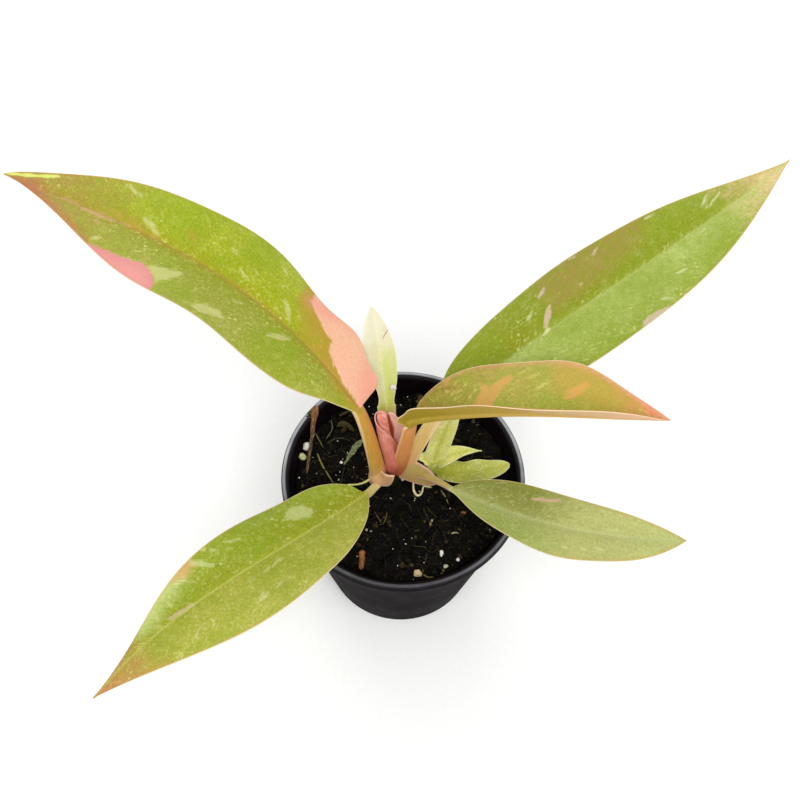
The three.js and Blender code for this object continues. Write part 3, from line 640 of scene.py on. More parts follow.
LEAVES = {
    "leaf_upper_left": dict(
        stalk=[[-5.9, 0.6, 44], [-6.7, -0.6, 56], [-8.2, 0.2, 69]],
        rib=[[-10.6, 0.8, 78], [-33.1, 24.6, 97], [-61.3, 30.2, 104], [-92.1, 43.6, 105]],
        rod=[[2.15, 1.9], [1.6, 1.4], [0.5, 0.3]], turn=35, roll=[-21, 2],
        right=half_blade(15.7, 0.13, 0.69, (3.1, 1.16, 0.41), lobes=(-0.34, -0.21, 0.18, 0.04), base=0.17),
        left=half_blade(17.5, 0.82, 1.47, (2.6, 1.71, 0.56), lobes=(-0.17, -0.06, -0.04, 0))),
    "leaf_upper_right": dict(
        stalk=[[0.2, 2.3, 44.5], [2.9, 4.4, 54], [4.2, 3.8, 61.5]],
        rib=[[8.6, 8.4, 66], [34.4, 23.3, 84], [62.9, 36.4, 96], [88, 58.5, 101]],
        rod=[[1.5, 1.3], [1.9, 1.3], [0.5, 0.3]], turn=-50, roll=[9, 2],
        right=half_blade(15.3, 0.8, 1.15, (0.9, 1.7, 0.45)),
        left=half_blade(13.1, 0.59, 1.14, (2.6, 0.91, 0.51), lobes=(0.04, 0, 0.07, 0.05))),
    "leaf_folded": dict(
        stalk=[[-1.3, 3, 44.5], [-0.7, 1.6, 54], [0.7, -0.5, 68]],
        rib=[[1, -2.2, 79], [19.8, -2.6, 86.7], [37.3, -7.2, 91.7], [57.4, -5.6, 88.7]],
        rod=[[1.7, 1.5], [2.5, 1], [0.4, 0.15]], turn=75, roll=[35, 23],
        right=half_blade(15.1, 0.53, 0.96, (1.3, 1.16, 0.21), 43, -4, (0.3, -0.29, 0, 0), base=0.25),
        left=half_blade(14, 0.56, 0.89, (0.68, 1.65, 0.16), 40, -16, (0, 0.02, 0, 0.1), base=0.25)),
    "leaf_lower_right": dict(
        stalk=[[-0.4, 1.8, 44.2], [3.2, 2.4, 46], [7.5, -1.6, 50]],
        rib=[[11.4, -6.9, 55], [27.5, -18.6, 62], [44.6, -24.1, 65], [65.2, -21.4, 61]],
        rod=[[1.5, 1.1], [0.6, 0.8], [0.4, 0.2]], turn=-30, roll=[0, 0],
        right=half_blade(7.6, 1.11, 0.96, (0.57, 2.62, 0.46), 10, -10),
        left=half_blade(8.5, 0.61, 0.84, (1, 1.18, 0.15), 10, -10)),
    "leaf_lower_left": dict(
        stalk=[[-6.2, -0.9, 44.4], [-7.4, -3.2, 46.2], [-8.4, -6.6, 49.6]],
        rib=[[-8.7, -8.6, 54], [-26.1, -28.3, 63], [-47.9, -40.3, 66], [-65.2, -61.8, 59]],
        rod=[[1, 0.9], [1.05, 1], [0.5, 0.3]], turn=0, roll=[-4, -14],
        right=half_blade(11.5, 0.54, 1.39, (2.6, 1.43, 0.38), lobes=(-0.05, -0.07, 0.05, 0.06), base=0.38),
        left=half_blade(14.3, 0.83, 1.02, (2.13, 1.12, 0), lobes=(0.05, 0.03, 0.02, -0.05))),
    "leaf_small_upright": dict(
        stalk=[[-2.6, 3.6, 43.9], [-3, 5, 52], [-3.9, 6, 60]],
        rib=[[-4.5, 8.2, 67], [-5.2, 12, 72], [-6.6, 17.5, 78], [-8.8, 24.9, 84.2]],
        rod=[[0.6, 0.8], [2.2, 0.7], [0.4, 0.2]], turn=0, roll=[0, -6],
        right=half_blade(3.8, 0.85, 0.85), left=half_blade(3.8, 1.35, 1)),
}

# Where the marks lie on each blade, in millimetres along the rib from the blade's base and across
# it, left negative. A mark is an outline, or a streak with both ends and its half-width.
MARKS = {
    "leaf_upper_left": dict(
        orange=[[(24.6, 10.4), (20, 7.2), (17.2, 6.2), (15.4, 5.8), (14.5, 3.7), (11.4, 1.8), (7.5, 0.7),
                 (4, 0.6), (0.5, 0.3), (-2, 0.3), (-2, 14), (25.2, 16)]],
        pink=[[(72, -8.3), (68.6, -8.2), (63.6, -8.5), (58.2, -8.2), (55.5, -9.7), (53.9, -11.9),
               (53.6, -16), (72, -16)]],
        red=[[(97, -0.2), (93.5, 1.2), (90.2, 1.6), (88.4, 0.4), (86.6, -1.4), (82.5, -3.2), (77.4, -5.4),
              (72.6, -7.6), (72, -10), (86, -6), (97, -4)]],
        coral=[(0, 2, 5.5, 9, 3.2), (24.6, 10.6, 17, 12.5, 2.2), (17, 12.5, 11, 13.6, 1.4)],
        core=[(24.3, -5, 23.2, -3.4, 0.2)],
        lime=[(99.5, 0, 94.5, 1.3, 0.6), (94.5, 1.3, 91, 2.5, 0.6), (91, 2.5, 86, 4.4, 0.5)],
        smear=[(83, -0.2, 78.6, -0.1, 0.4), (77.4, -0.7, 69.7, -0.3, 0.75), (69, -0.2, 66, 0.2, 0.4),
               (73.4, -2.6, 72.6, -2.6, 0.5), (24.8, -5.2, 22.9, -2.8, 0.35)],
        tan=[[(27.2, 7.3), (26.2, 15), (24.3, 15), (20, 8), (15, 6.4), (14, 3.7), (7.5, 1.2), (-2, 1.5),
              (-2, -0.6), (8.8, -1), (16.3, -0.4), (21.4, 1.6), (25.2, 5)],
             (54, 5.6, 51.8, 4.4, 0.9), (72, 1.5, 60, 0.4, 1.2)],
        cream=[[(58.2, -8.2), (53.9, -6.7), (50.2, -5.3), (50.2, -7.1), (52.3, -9.9), (53.9, -12),
                (55.5, -9.7)],
               [(44.2, -13.9), (41.8, -11.3), (38.2, -10.2), (36.5, -11.9), (39.2, -13.5), (41.8, -14.9)],
               (26.7, -6.4, 22.4, -2.4, 0.7), (28.7, 5.2, 24.8, 1.3, 0.55), (40.8, 4.4, 38.2, 3.3, 0.4),
               (33.6, 12.6, 32.1, 11.9, 0.35), (44.9, 8.2, 43.3, 7.2, 0.3), (38.2, 6.8, 37.2, 6.2, 0.25),
               (71.3, 8.1, 67, 7.3, 0.4), (64.2, 3.3, 60, 1.4, 0.75), (37.7, -4.6, 35.7, -3.5, 0.3),
               (71.9, -6.9, 70, -6, 0.5)]),
    "leaf_upper_right": dict(
        tan=[[(35.8, -15), (70, -15), (65.2, -8.5), (60, -5.2), (53.4, -3.8), (47.6, -3.4), (42, -3),
              (37, -2.4), (34.6, -3.2), (34.2, -9)]],
        pink=[(34.8, -5.2, 31.2, -1.2, 0.85),
              [(49.2, 13.4), (52.2, 12.9), (56.6, 13.8), (57, 18), (48.5, 18)],
              (36.3, -10.4, 33.9, -9, 0.55), (46.6, -12.6, 45, -12.9, 0.35), (52, -10.8, 49.9, -9.8, 0.35)],
        cream=[(30.9, -7, 28.2, -5.1, 0.4), (79.6, -5, 76.8, -3.6, 0.35), (82.4, -3.8, 77.6, -2.7, 0.35),
               (55.5, 10.8, 57.7, 12.2, 0.3), (62, 7.1, 64.7, 7.6, 0.32), (72.3, 1.5, 74, 1.2, 0.25),
               (43.4, -5.3, 44.2, -5.4, 0.35), (66.8, -8.7, 64.7, -9.1, 0.3), (31.8, -0.4, 29.8, 0.2, 0.6)]),
    "leaf_folded": dict(
        orange=[[(14.6, -1), (16.2, -5.7), (15.8, -8.2), (17.6, -7), (22, -10.4), (23, -9.2), (20.2, -4.8),
                 (18.6, -1)],
                [(34.6, -3.9), (35.6, -5.6), (39.4, -7.9), (40.4, -7.5), (38.9, -5.4), (36.7, -3.8)],
                (22, -0.6, 27.5, -0.5, 0.8), (7.2, -8.9, 8.2, -10, 0.5)],
        ochre=[[(32, -14), (33, -6), (38, -3), (44, -0.8), (52, -0.8), (54, -14)]],
        salmon=[[(44, -14), (45.5, -8.8), (51, -4.9), (55, -2.4), (58, -0.6), (60, -8)]],
        cream=[(28.4, -6, 31, -7.7, 0.45), (26.4, -8.8, 28.9, -10.2, 0.3), (24.1, -10.4, 26.1, -11.7, 0.25),
               (8, -5.9, 8.4, -6.7, 0.22), (9.3, -4.8, 9.9, -6.3, 0.25), (10.6, -5.6, 11.2, -6.6, 0.22),
               (13.5, -4.2, 14, -5.2, 0.3), (14.4, -5.6, 14.9, -6.6, 0.2), (10.2, -3.6, 10.6, -4.6, 0.2),
               (12, -7.4, 12.5, -8.4, 0.2), (9.6, -8.2, 10.2, -9.2, 0.2)]),
    "leaf_lower_right": dict(
        tan=[[(20.1, -4.8), (22.1, -5.8), (24.7, -6.7), (27.8, -7.7), (26.8, -6.2), (24.7, -5.3),
              (22.1, -4.9)]],
        pink=[(20.3, -5.1, 24, -5.6, 0.5), (23.5, -5.5, 27.3, -6.5, 0.5)],
        cream=[(37.9, -6, 38.7, -5.6, 0.3), (39.7, -1.1, 41.9, -1.6, 0.25), (30.5, 5, 31.5, 5.2, 0.35),
               (34.2, 4.3, 35.3, 4.9, 0.35), (36.9, 3.9, 39.1, 4.1, 0.3)]),
    "leaf_lower_left": dict(
        cream=[[(20.4, 7.2), (17.8, 8), (15, 6.6), (14.3, 4), (15.9, 2.8), (18.8, 3.8), (20.9, 5.6)],
               (45.4, 8, 41.8, 5, 0.7), (39, -9.3, 36.4, -8.7, 0.6), (33.2, -3.6, 28.6, -2.6, 0.38),
               (38.4, -3.5, 35.8, -3, 0.32), (54.6, -7, 50.8, -5.8, 0.35), (34.3, -8.8, 32.2, -8.6, 0.28),
               (21.2, -3.5, 19.2, -2.9, 0.25), (36.3, 8.4, 33.2, 7.3, 0.4), (40.5, 7.9, 39, 7.6, 0.35),
               (50.8, 6, 48.6, 5.5, 0.3)],
        tan=[(56.3, 0.9, 50.2, 0.1, 0.6)],
        orange=[[(51.6, 6.8), (48.6, 8.6), (45.2, 10), (45, 6.6), (48.6, 5.7)]],
        # a painted highlight: pale patches painted where the leaf catches the light
        sheen=[(62, 3.6, 55.7, 5.5, 1.8), (56, 5.2, 49.5, 7.4, 1.5)]),
    "leaf_small_upright": dict(
        slit=[(19, 3.3, 16.4, 1.2, 0.17)],
        cream=[[(15, -4), (16.5, 0), (19, 1.6), (21, 3.4), (24, 1), (24, -4)]]),
}


# Leaf skin: living tissue under a smooth cuticle, IOR 1.42 and a soft satin roughness near 0.4. Its
# cells are drawn at 0.5 mm, coarser than they are, and its side veins run 1 mm apart.
def leaf_skin(name, look):
    """The skin of one leaf, laid on in coats, each a place on the leaf and the colour it takes."""
    material, tree, shader = surface(name, 1.42, 0.28)
    place = add(tree, "SeparateXYZ", {0: add(tree, "Attribute", attribute_name="place").outputs["Vector"]})
    along, across, rim = place.outputs
    zone = add(tree, "SeparateXYZ", {0: add(tree, "Attribute", attribute_name="zone").outputs["Vector"]})
    share, stalk, upper = zone.outputs
    vein = add(tree, "Attribute", attribute_name="vein").outputs["Vector"]
    spot = add(tree, "TexCoord").outputs["Object"]
    off_rib = add(tree, "Math", {0: across}, operation="ABSOLUTE").outputs[0]
    wide_here = add(tree, "Math", {0: off_rib, 1: rim}).outputs[0]
    outward = add(tree, "Math", {0: off_rib, 1: wide_here}, operation="DIVIDE",
                  use_clamp=True).outputs[0]

    broad = add(tree, "TexNoise", {"Vector": spot, "Scale": 1000 / 11, "Detail": 2}).outputs[0]
    blotch, cells, freckles = [
        add(tree, "TexNoise", {"Vector": spot, "Scale": 1000 / size, "Detail": detail,
                               "Roughness": rough}).outputs[0]
        for size, detail, rough in ((2.4, 5, 0.62), (0.5, 3, 0.7), (0.8, 3, 0.6))]
    veined = add(tree, "Mapping", {"Vector": vein, "Scale": (1, 1 / 2.6, 1)}).outputs[0]
    grain = add(tree, "TexNoise", {"Vector": veined, "Scale": 1.0, "Detail": 5,
                                   "Roughness": 0.65}).outputs[0]

    # each half runs from one green at the rib to another at the margin; on some leaves the paler near half is
    # partly a painted highlight
    half = add(tree, "MapRange", {0: across, 1: -0.3, 2: 0.3, 3: 0.0, 4: 1.0}).outputs[0]
    left, right = [coated(tree, linear(look[side][0]), [(outward, look[side][1])])
                   for side in ("left", "right")]
    colour = coated(tree, left, [(half, right)])

    # young and old tissue: the base, which on the side shoot is painted shade, greener drifts and blotches,
    # paler ones, the tip, round the rib
    tint, strength, reach = look.get("base", ("#808040", 0.0, 0.3))
    coats = [(add(tree, "MapRange", {0: share, 1: 0.0, 2: reach, 3: strength, 4: 0.0}).outputs[0], tint),
             (add(tree, "MapRange", {0: broad, 1: 0.42, 2: 0.62, 3: 0.0, 4: 0.5}).outputs[0], look["green"]),
             (add(tree, "MapRange", {0: blotch, 1: 0.5, 2: 0.68, 3: 0.0, 4: 0.5}).outputs[0], look["green"]),
             (add(tree, "MapRange", {0: blotch, 1: 0.3, 2: 0.46, 3: 0.2, 4: 0.0}).outputs[0], look["fleck"])]
    wander = add(tree, "Math", {0: blotch, 1: 0.3, 2: share}, operation="MULTIPLY_ADD").outputs[0]
    tint, start = look["tip"]
    coats.append((add(tree, "MapRange", {0: wander, 1: start + 0.1, 2: start + 0.32, 3: 0.0, 4: 1.0})
                  .outputs[0], tint))
    tint, strength, reach = look["rib_tint"]
    by_rib = add(tree, "MapRange", {0: off_rib, 1: 0.0, 2: reach, 3: strength, 4: 0.0}).outputs[0]
    patchy = add(tree, "MapRange", {0: grain, 1: 0.35, 2: 0.6, 3: 0.3, 4: 1.2}).outputs[0]
    coats.append((add(tree, "Math", {0: by_rib, 1: patchy}, operation="MULTIPLY", use_clamp=True)
                  .outputs[0], tint))

    # pale flecks where cells lack their green: dots, and short streaks along the side veins
    clustered = add(tree, "MapRange", {0: broad, 1: 0.36, 2: 0.6, 3: 1.0, 4: 0.35}).outputs[0]
    grit = look.get("grit", 1.0)
    for low, high, cover, tint in ((0.54, 0.66, 0.42, look["fleck"]), (0.44, 0.34, 0.4, look["green"])):
        shown = add(tree, "MapRange", {0: freckles, 1: low, 2: high, 3: 0.0, 4: cover * grit}).outputs[0]
        coats.append((add(tree, "Math", {0: shown, 1: clustered}, operation="MULTIPLY").outputs[0], tint))
    slanted = add(tree, "Mapping", {"Vector": vein, "Scale": (1 / 0.8, 1 / 2.6, 1)}).outputs[0]
    for where, scale, kind, size, count in ((spot, 1000 / 1.3, "3D", 0.32, look.get("dots", 0.45)),
                                            (slanted, 1.0, "2D", 0.26, look.get("streaks", 0.25))):
        grown = add(tree, "TexVoronoi", {"Vector": where, "Scale": scale}, voronoi_dimensions=kind)
        pick = add(tree, "SeparateXYZ", {0: grown.outputs["Color"]}).outputs[0]
        radius = add(tree, "MapRange", {0: pick, 1: 1 - count, 2: 1.0, 3: -0.05, 4: size}).outputs[0]
        within = add(tree, "Math", {0: radius, 1: grown.outputs["Distance"]}, operation="SUBTRACT").outputs[0]
        shown = add(tree, "MapRange", {0: within, 1: -0.04, 2: 0.08, 3: 0.0, 4: 0.7}).outputs[0]
        coats.append((add(tree, "Math", {0: shown, 1: clustered}, operation="MULTIPLY").outputs[0],
                      look["fleck"]))

    colour = coated(tree, colour, coats)
    shade = add(tree, "MapRange", {0: cells, 1: 0.3, 2: 0.7, 3: 1 - 0.2 * grit,
                                   4: 1 + 0.18 * grit}).outputs[0]
    colour = add(tree, "Mix", {0: 1.0, 6: colour, 7: shade}, data_type="RGBA",
                 blend_type="MULTIPLY").outputs[2]

    # the marks: how far in each coat starts, how soft and how frayed its edge is, how much it covers
    coats = []
    for kind, inset, soft, fray, cover, tint in look["marks"]:
        frayed = add(tree, "MapRange", {0: grain, 1: 0.3, 2: 0.7, 3: -fray - inset, 4: fray - inset})
        depth_in = add(tree, "Attribute", attribute_name=kind).outputs["Fac"]
        edge = add(tree, "Math", {0: depth_in, 1: frayed.outputs[0]}).outputs[0]
        full = add(tree, "MapRange", {0: edge, 1: -soft, 2: soft, 3: 0.0, 4: cover},
                   interpolation_type="SMOOTHSTEP").outputs[0]
        high, least, most = (0.6, 0.25, 1.3) if kind in look.get("speckled", ()) else (0.56, 0.85, 1.0)
        broken = add(tree, "MapRange", {0: freckles, 1: 0.36, 2: high, 3: least, 4: most}).outputs[0]
        full = add(tree, "Math", {0: full, 1: broken}, operation="MULTIPLY", use_clamp=True).outputs[0]
        coats.append((full, tint))

    # the rib's broken line, a blush along the margin that grows towards the tip, the pale margin
    tint, strength, reach = look["line"]
    line = add(tree, "MapRange", {0: off_rib, 1: reach * 0.5, 2: reach * 1.5, 3: strength, 4: 0.0}).outputs[0]
    coats.append((add(tree, "Math", {0: line, 1: patchy}, operation="MULTIPLY", use_clamp=True)
                  .outputs[0], tint))
    tint, strength, reach = look["blush"]
    blush = add(tree, "MapRange", {0: rim, 1: 0.1, 2: reach, 3: strength, 4: 0.0}).outputs[0]
    growing = add(tree, "MapRange", {0: share, 1: 0.0, 2: 0.85, 3: 0.35, 4: 1.0}).outputs[0]
    growing = add(tree, "Math", {0: growing, 1: patchy}, operation="MULTIPLY").outputs[0]
    coats.append((add(tree, "Math", {0: blush, 1: growing}, operation="MULTIPLY", use_clamp=True)
                  .outputs[0], tint))
    margin = add(tree, "MapRange", {0: rim, 1: 0.06, 2: 0.22, 3: 0.7, 4: 0.0}).outputs[0]
    before_tip = add(tree, "MapRange", {0: share, 1: 0.85, 2: 0.97, 3: 1.0, 4: 0.0}).outputs[0]
    margin = add(tree, "Math", {0: margin, 1: before_tip}, operation="MULTIPLY").outputs[0]
    coats.append((margin, look["margin"]))
    colour = coated(tree, colour, coats)

    # the underside is duller, and the stalk is streaked lengthwise with a thin pale edge
    back = add(tree, "ValToRGB", {0: share}, stops=list(zip((0.1, 0.45, 0.85), look["under"])))
    back_margin = add(tree, "MapRange", {0: rim, 1: 0.1, 2: 0.4, 3: 0.8, 4: 0.0}).outputs[0]
    back = coated(tree, colour, [(0.8, back.outputs[0]), (back_margin, look["margin"])])
    colour = coated(tree, back, [(upper, colour)])
    drawn = add(tree, "Mapping", {"Vector": vein, "Scale": (1 / 0.4, 1 / 7, 1)}).outputs[0]
    lengthwise = add(tree, "TexNoise", {"Vector": drawn, "Scale": 1.0, "Detail": 4}).outputs[0]
    first, second, streak = look["stalk"]
    foot, foot_from, foot_to = look["foot"]
    rightwards = add(tree, "MapRange", {0: across, 1: -0.9, 2: 0.9}).outputs[0]
    streaky = add(tree, "MapRange", {0: lengthwise, 1: 0.45, 2: 0.68, 3: 0.0, 4: 0.7}).outputs[0]
    low_down = add(tree, "MapRange", {0: along, 1: -foot_from, 2: -foot_to, 3: 0.9, 4: 0.0}).outputs[0]
    stalk_edge = add(tree, "MapRange", {0: rim, 1: 0.05, 2: 0.2, 3: 0.7, 4: 0.0}).outputs[0]
    stalk_tone = coated(tree, linear(first), [(rightwards, second), (streaky, streak),
                                              (low_down, foot), (stalk_edge, look["stalk_edge"])])
    colour = coated(tree, colour, [(stalk, stalk_tone)])
    tree.links.new(colour, shader.inputs["Base Color"])

    pimples = add(tree, "Math", {0: cells, 1: 0.3}, operation="MULTIPLY").outputs[0]
    height = add(tree, "Math", {0: grain, 1: 0.5, 2: pimples}, operation="MULTIPLY_ADD").outputs[0]
    relief = add(tree, "Bump", {"Height": height, "Strength": 0.5, "Distance": 0.00015}).outputs[0]
    tree.links.new(relief, shader.inputs["Normal"])
    rough = add(tree, "MapRange", {0: cells, 1: 0.3, 2: 0.7, 3: 0.36, 4: 0.5}).outputs[0]
    tree.links.new(rough, shader.inputs["Roughness"])
    return material


LOOKS = {
    "leaf_upper_left": dict(
        # the left half's duller, greyer green is partly a painted highlight
        left=("#8C9226", "#9EA040"), right=("#979F02", "#9FAA2E"), base=("#A8902C", 0.6, 0.1),
        green="#869A0C", fleck="#C9CC6C", tip=("#A08C3C", 0.7), rib_tint=("#9C8820", 0.55, 3.0),
        line=("#A8783C", 0.45, 0.35), blush=("#B87850", 0.3, 0.6), margin="#DEC49C",
        under=("#A4A450", "#A9AE62", "#B09A58"), stalk=("#C9A040", "#CF9148", "#BD8636"),
        foot=("#CFA88A", 34, 25), stalk_edge="#EFCDB0", dots=0.5, streaks=0.3, speckled=("tan",),
        marks=[("tan", 0, 1.2, 0.9, 0.6, "#B08C36"), ("smear", 0, 0.4, 0.5, 0.75, "#C9A070"),
               ("orange", -2.6, 1.6, 0.9, 0.65, "#AE8A30"), ("orange", 0, 0.35, 0.6, 0.97, "#E9B296"),
               ("coral", 0, 2.4, 1.0, 0.55, "#E38E80"), ("red", 0, 1.8, 0.8, 0.7, "#B4604E"),
               ("pink", 0, 0.4, 0.4, 0.9, "#DA868C"), ("pink", 1.5, 1.2, 1.0, 0.5, "#E2988E"),
               ("cream", 0, 0.4, 0.5, 0.62, "#CCCA84"), ("core", 0, 0.3, 0.2, 0.7, "#DE9A8C"),
               ("lime", 0, 0.2, 0.1, 0.9, "#D4DF70")]),
    "leaf_upper_right": dict(
        # the right half's pale green at the rib, fading darker to the margin, is partly a painted highlight
        left=("#7E8604", "#8C9428"), right=("#A8B95E", "#8A9A2C"), green="#809410", fleck="#C6CB7C",
        tip=("#E6C292", 0.83), rib_tint=("#A2AC48", 0.35, 2.0), line=("#B9C47C", 0.3, 0.4),
        blush=("#B08A50", 0.3, 0.8), margin="#D6C49C", under=("#A3AD62", "#A3AD62", "#A8A860"),
        stalk=("#E2C878", "#D9B868", "#EED8A8"), foot=("#D8A870", 19, 13), stalk_edge="#F0CDAE",
        dots=0.5, streaks=0.4, speckled=("tan",), grit=0.8,
        marks=[("tan", 0.5, 3.2, 1.6, 0.68, "#9A8240"), ("pink", 0, 0.25, 0.3, 0.8, "#CDB29E"),
               ("cream", 0, 0.25, 0.3, 0.72, "#D6D6A2")]),
    "leaf_folded": dict(
        left=("#A0A036", "#AC9044"), right=("#B29444", "#C69A5C"), base=("#886C10", 1.0, 0.38),
        green="#94A430", fleck="#D4C468", tip=("#DE8468", 0.8), rib_tint=("#B89444", 0.4, 2.0),
        line=("#CC9C58", 0.5, 0.35), blush=("#DE9A78", 0.75, 1.9), margin="#F2D2B0",
        under=("#A08820", "#BE9A44", "#E0A878"), stalk=("#CE8046", "#D68C4C", "#E0A064"),
        foot=("#B8583E", 33, 22), stalk_edge="#EEBE96", dots=0.35, streaks=0.45,
        marks=[("ochre", 0, 2.0, 1.5, 0.6, "#B8983E"), ("orange", 0, 0.5, 0.55, 0.85, "#D19C52"),
               ("cream", 0, 0.3, 0.3, 0.7, "#D8CC72"), ("salmon", 0, 1.2, 1.0, 0.7, "#E4988A")]),
    "leaf_lower_right": dict(
        left=("#8A8C46", "#7C8034"), right=("#9AA15A", "#95A452"), green="#8A9A46", fleck="#B9C084",
        tip=("#B4B870", 0.4), rib_tint=("#A0A660", 0.5, 3.0), line=("#BCC288", 0.4, 0.6),
        blush=("#C08440", 0.55, 0.9), margin="#DCD6AA", under=("#A0A668", "#A0A668", "#A8A868"),
        stalk=("#B9A860", "#AE9852", "#CDBE88"), foot=("#A4874E", 17, 9), stalk_edge="#D4A8A0",
        dots=0.5, streaks=0.25,
        marks=[("tan", 0, 0.6, 0.6, 0.55, "#A9A46A"), ("pink", 0, 0.25, 0.4, 0.9, "#CBAA8C"),
               ("cream", 0, 0.3, 0.25, 0.7, "#C9D08C")]),
    "leaf_lower_left": dict(
        # the left half's paler green is partly a painted highlight
        left=("#9E9F30", "#A8A844"), right=("#848A0C", "#90A02A"), green="#86971A", fleck="#CCD080",
        tip=("#C47E52", 0.82), rib_tint=("#A0A02A", 0.4, 2.0), line=("#BCC064", 0.5, 0.35),
        blush=("#BC8058", 0.45, 0.8), margin="#E2D6A4", under=("#A9AE62", "#A9AE62", "#B09E5C"),
        stalk=("#E6E090", "#DCDC84", "#F0ECBC"), foot=("#E4DA94", 12, 6), stalk_edge="#ECE8BC",
        dots=0.5, streaks=0.3,
        # the first mark is a painted highlight, a pale patch near the margin
        marks=[("sheen", 0, 3.4, 0.8, 0.85, "#C8D088"), ("tan", 0, 0.3, 0.3, 0.65, "#C4AA8C"),
               ("orange", 0, 0.9, 0.8, 0.75, "#D0A468"), ("cream", 0, 0.4, 0.6, 0.58, "#CBCE8E")]),
    "leaf_small_upright": dict(
        left=("#D4D0AC", "#DAD5BA"), right=("#C6CB74", "#CBCF7E"), base=("#B4C040", 0.9, 0.3),
        green="#C2CA76", fleck="#DAD9B8",
        tip=("#D9D2B0", 0.5), rib_tint=("#DDE0A0", 0.4, 1.2), line=("#E2E4B4", 0.3, 0.3),
        blush=("#E6D6B0", 0.3, 0.5), margin="#EAE6C4", under=("#D2D69A", "#D2D69A", "#DAD8A8"),
        stalk=("#AECB48", "#D6C07C", "#DDD2A4"), foot=("#B7B56A", 26, 20), stalk_edge="#F0EAC6",
        dots=0.1, streaks=0.1, grit=0.25,
        marks=[("slit", 0, 0.12, 0.05, 0.9, "#8A6656"), ("cream", 0, 0.8, 0.4, 0.8, "#DCD9BE")]),
}
SLOTS = {"leaf_small_upright": "leaf_pale"}


def stalk_notes(streak, marks, down, rim, across=1.0):
    """What the skin needs on a part of a leaf that is only stalk or sheath."""
    count = len(streak)
    return {"place": np.column_stack([np.broadcast_to(value, count) for value in (-down, across, rim)]),
            "zone": np.column_stack([np.zeros(count), np.ones(count), np.ones(count)]), "vein": streak,
            **{kind: np.full(count, NO_MARK) for kind in marks}}


def sheath(rows, thickness=0.5, across=40, up=18):
    """A thin closed sheet over rows of guide points, with rounded edges.

    Returns its points, its faces, (mm across, mm up, share across) and the distance from its free edges.
    """
    rows = np.array([smooth_route(row, np.linspace(0, 1, across + 1))[0] for row in rows])
    grid = np.stack([smooth_route(rows[:, j], np.linspace(0, 1, up + 1))[0] for j in range(across + 1)], 1)
    normal = unit(np.cross(np.gradient(grid, axis=1), np.gradient(grid, axis=0)))
    wide = np.cumsum(np.linalg.norm(np.diff(grid, axis=1, prepend=grid[:, :1]), axis=2), axis=1)
    tall = np.cumsum(np.linalg.norm(np.diff(grid, axis=0, prepend=grid[:1]), axis=2), axis=0)
    edge = np.minimum.reduce([wide, wide[:, -1:] - wide, tall, tall[-1:] - tall])
    half = thickness / 2 * np.sqrt(np.clip(edge / thickness * 2, 0.1, 1))[..., None]
    count, total = across + 1, (across + 1) * (up + 1)
    points = np.vstack([(grid + normal * half).reshape(-1, 3), (grid - normal * half).reshape(-1, 3)])
    quads = [(i * count + j, i * count + j + 1, (i + 1) * count + j + 1, (i + 1) * count + j)
             for i in range(up) for j in range(across)]
    faces = quads + [tuple(k + total for k in quad[::-1]) for quad in quads]
    border = ([j for j in range(across)] + [i * count + across for i in range(up)]
              + [up * count + j for j in range(across, 0, -1)] + [i * count for i in range(up, 0, -1)])
    faces += [(a, a + total, b + total, b) for a, b in zip(border, border[1:] + border[:1])]
    run = np.column_stack([wide.ravel(), tall.ravel(), (wide / wide[:, -1:]).ravel()])
    return points, faces, np.vstack([run, run]), np.tile(edge.ravel(), 2)


# The feet of three leaves: the upper left leaf's winged foot clasps the front of the new leaf, the
# lower right leaf's opens into a flat sheath, and a loose strand runs up to the lower left one's margin.
FEET = {
    "leaf_upper_left": (
        [[(-8.1, 1.6, 43.8), (-8.3, -0.2, 44), (-7.4, -1.1, 44.3), (-5.3, -1.7, 44.9), (-3.9, -1.9, 45.3),
          (-2.9, -1.7, 46.1)],
         [(-8.1, 1.2, 46.5), (-8.3, 0, 46.9), (-7.1, -0.9, 47), (-5.4, -1.4, 47.2), (-4, -1.8, 48),
          (-2.4, -1.8, 48.4)],
         [(-7.9, 1.1, 52), (-7.8, 0.4, 52.2), (-7, 0.5, 51.5), (-5.5, 0.2, 50), (-4.2, -1.5, 50.8),
          (-2.1, -1.7, 50.7)]],
        (36, 23), 0.5),
    "leaf_lower_right": (
        [[(-1.2, 1.1, 44.2), (0.4, 0.5, 44.4), (2.6, -0.5, 44.8), (4.8, -1.6, 45.8), (6.8, -2.5, 47.4),
          (8.4, -3.1, 49.5)],
         [(-0.4, 2, 46.6), (0.9, 1.6, 46.8), (2.8, 0.8, 46.9), (5.2, -0.7, 47.6), (7, -1.8, 48.8),
          (8.4, -2.7, 50)],
         [(0.9, 3.4, 49.4), (2.1, 3.3, 49.8), (3.4, 2.8, 49.6), (5.9, 1.2, 49.6), (7.3, -0.4, 50),
          (8.4, -2.2, 50.5)]],
        (18, 12), 0.5),
}
MARGIN_STRAND = [[-8.0, 0.2, 45.4], [-8.6, -0.8, 46], [-9.6, -2.4, 47.8], [-10.8, -4.2, 50.4],
                 [-12, -5.7, 53],
                 [-13.3, -6.7, 54.9]]

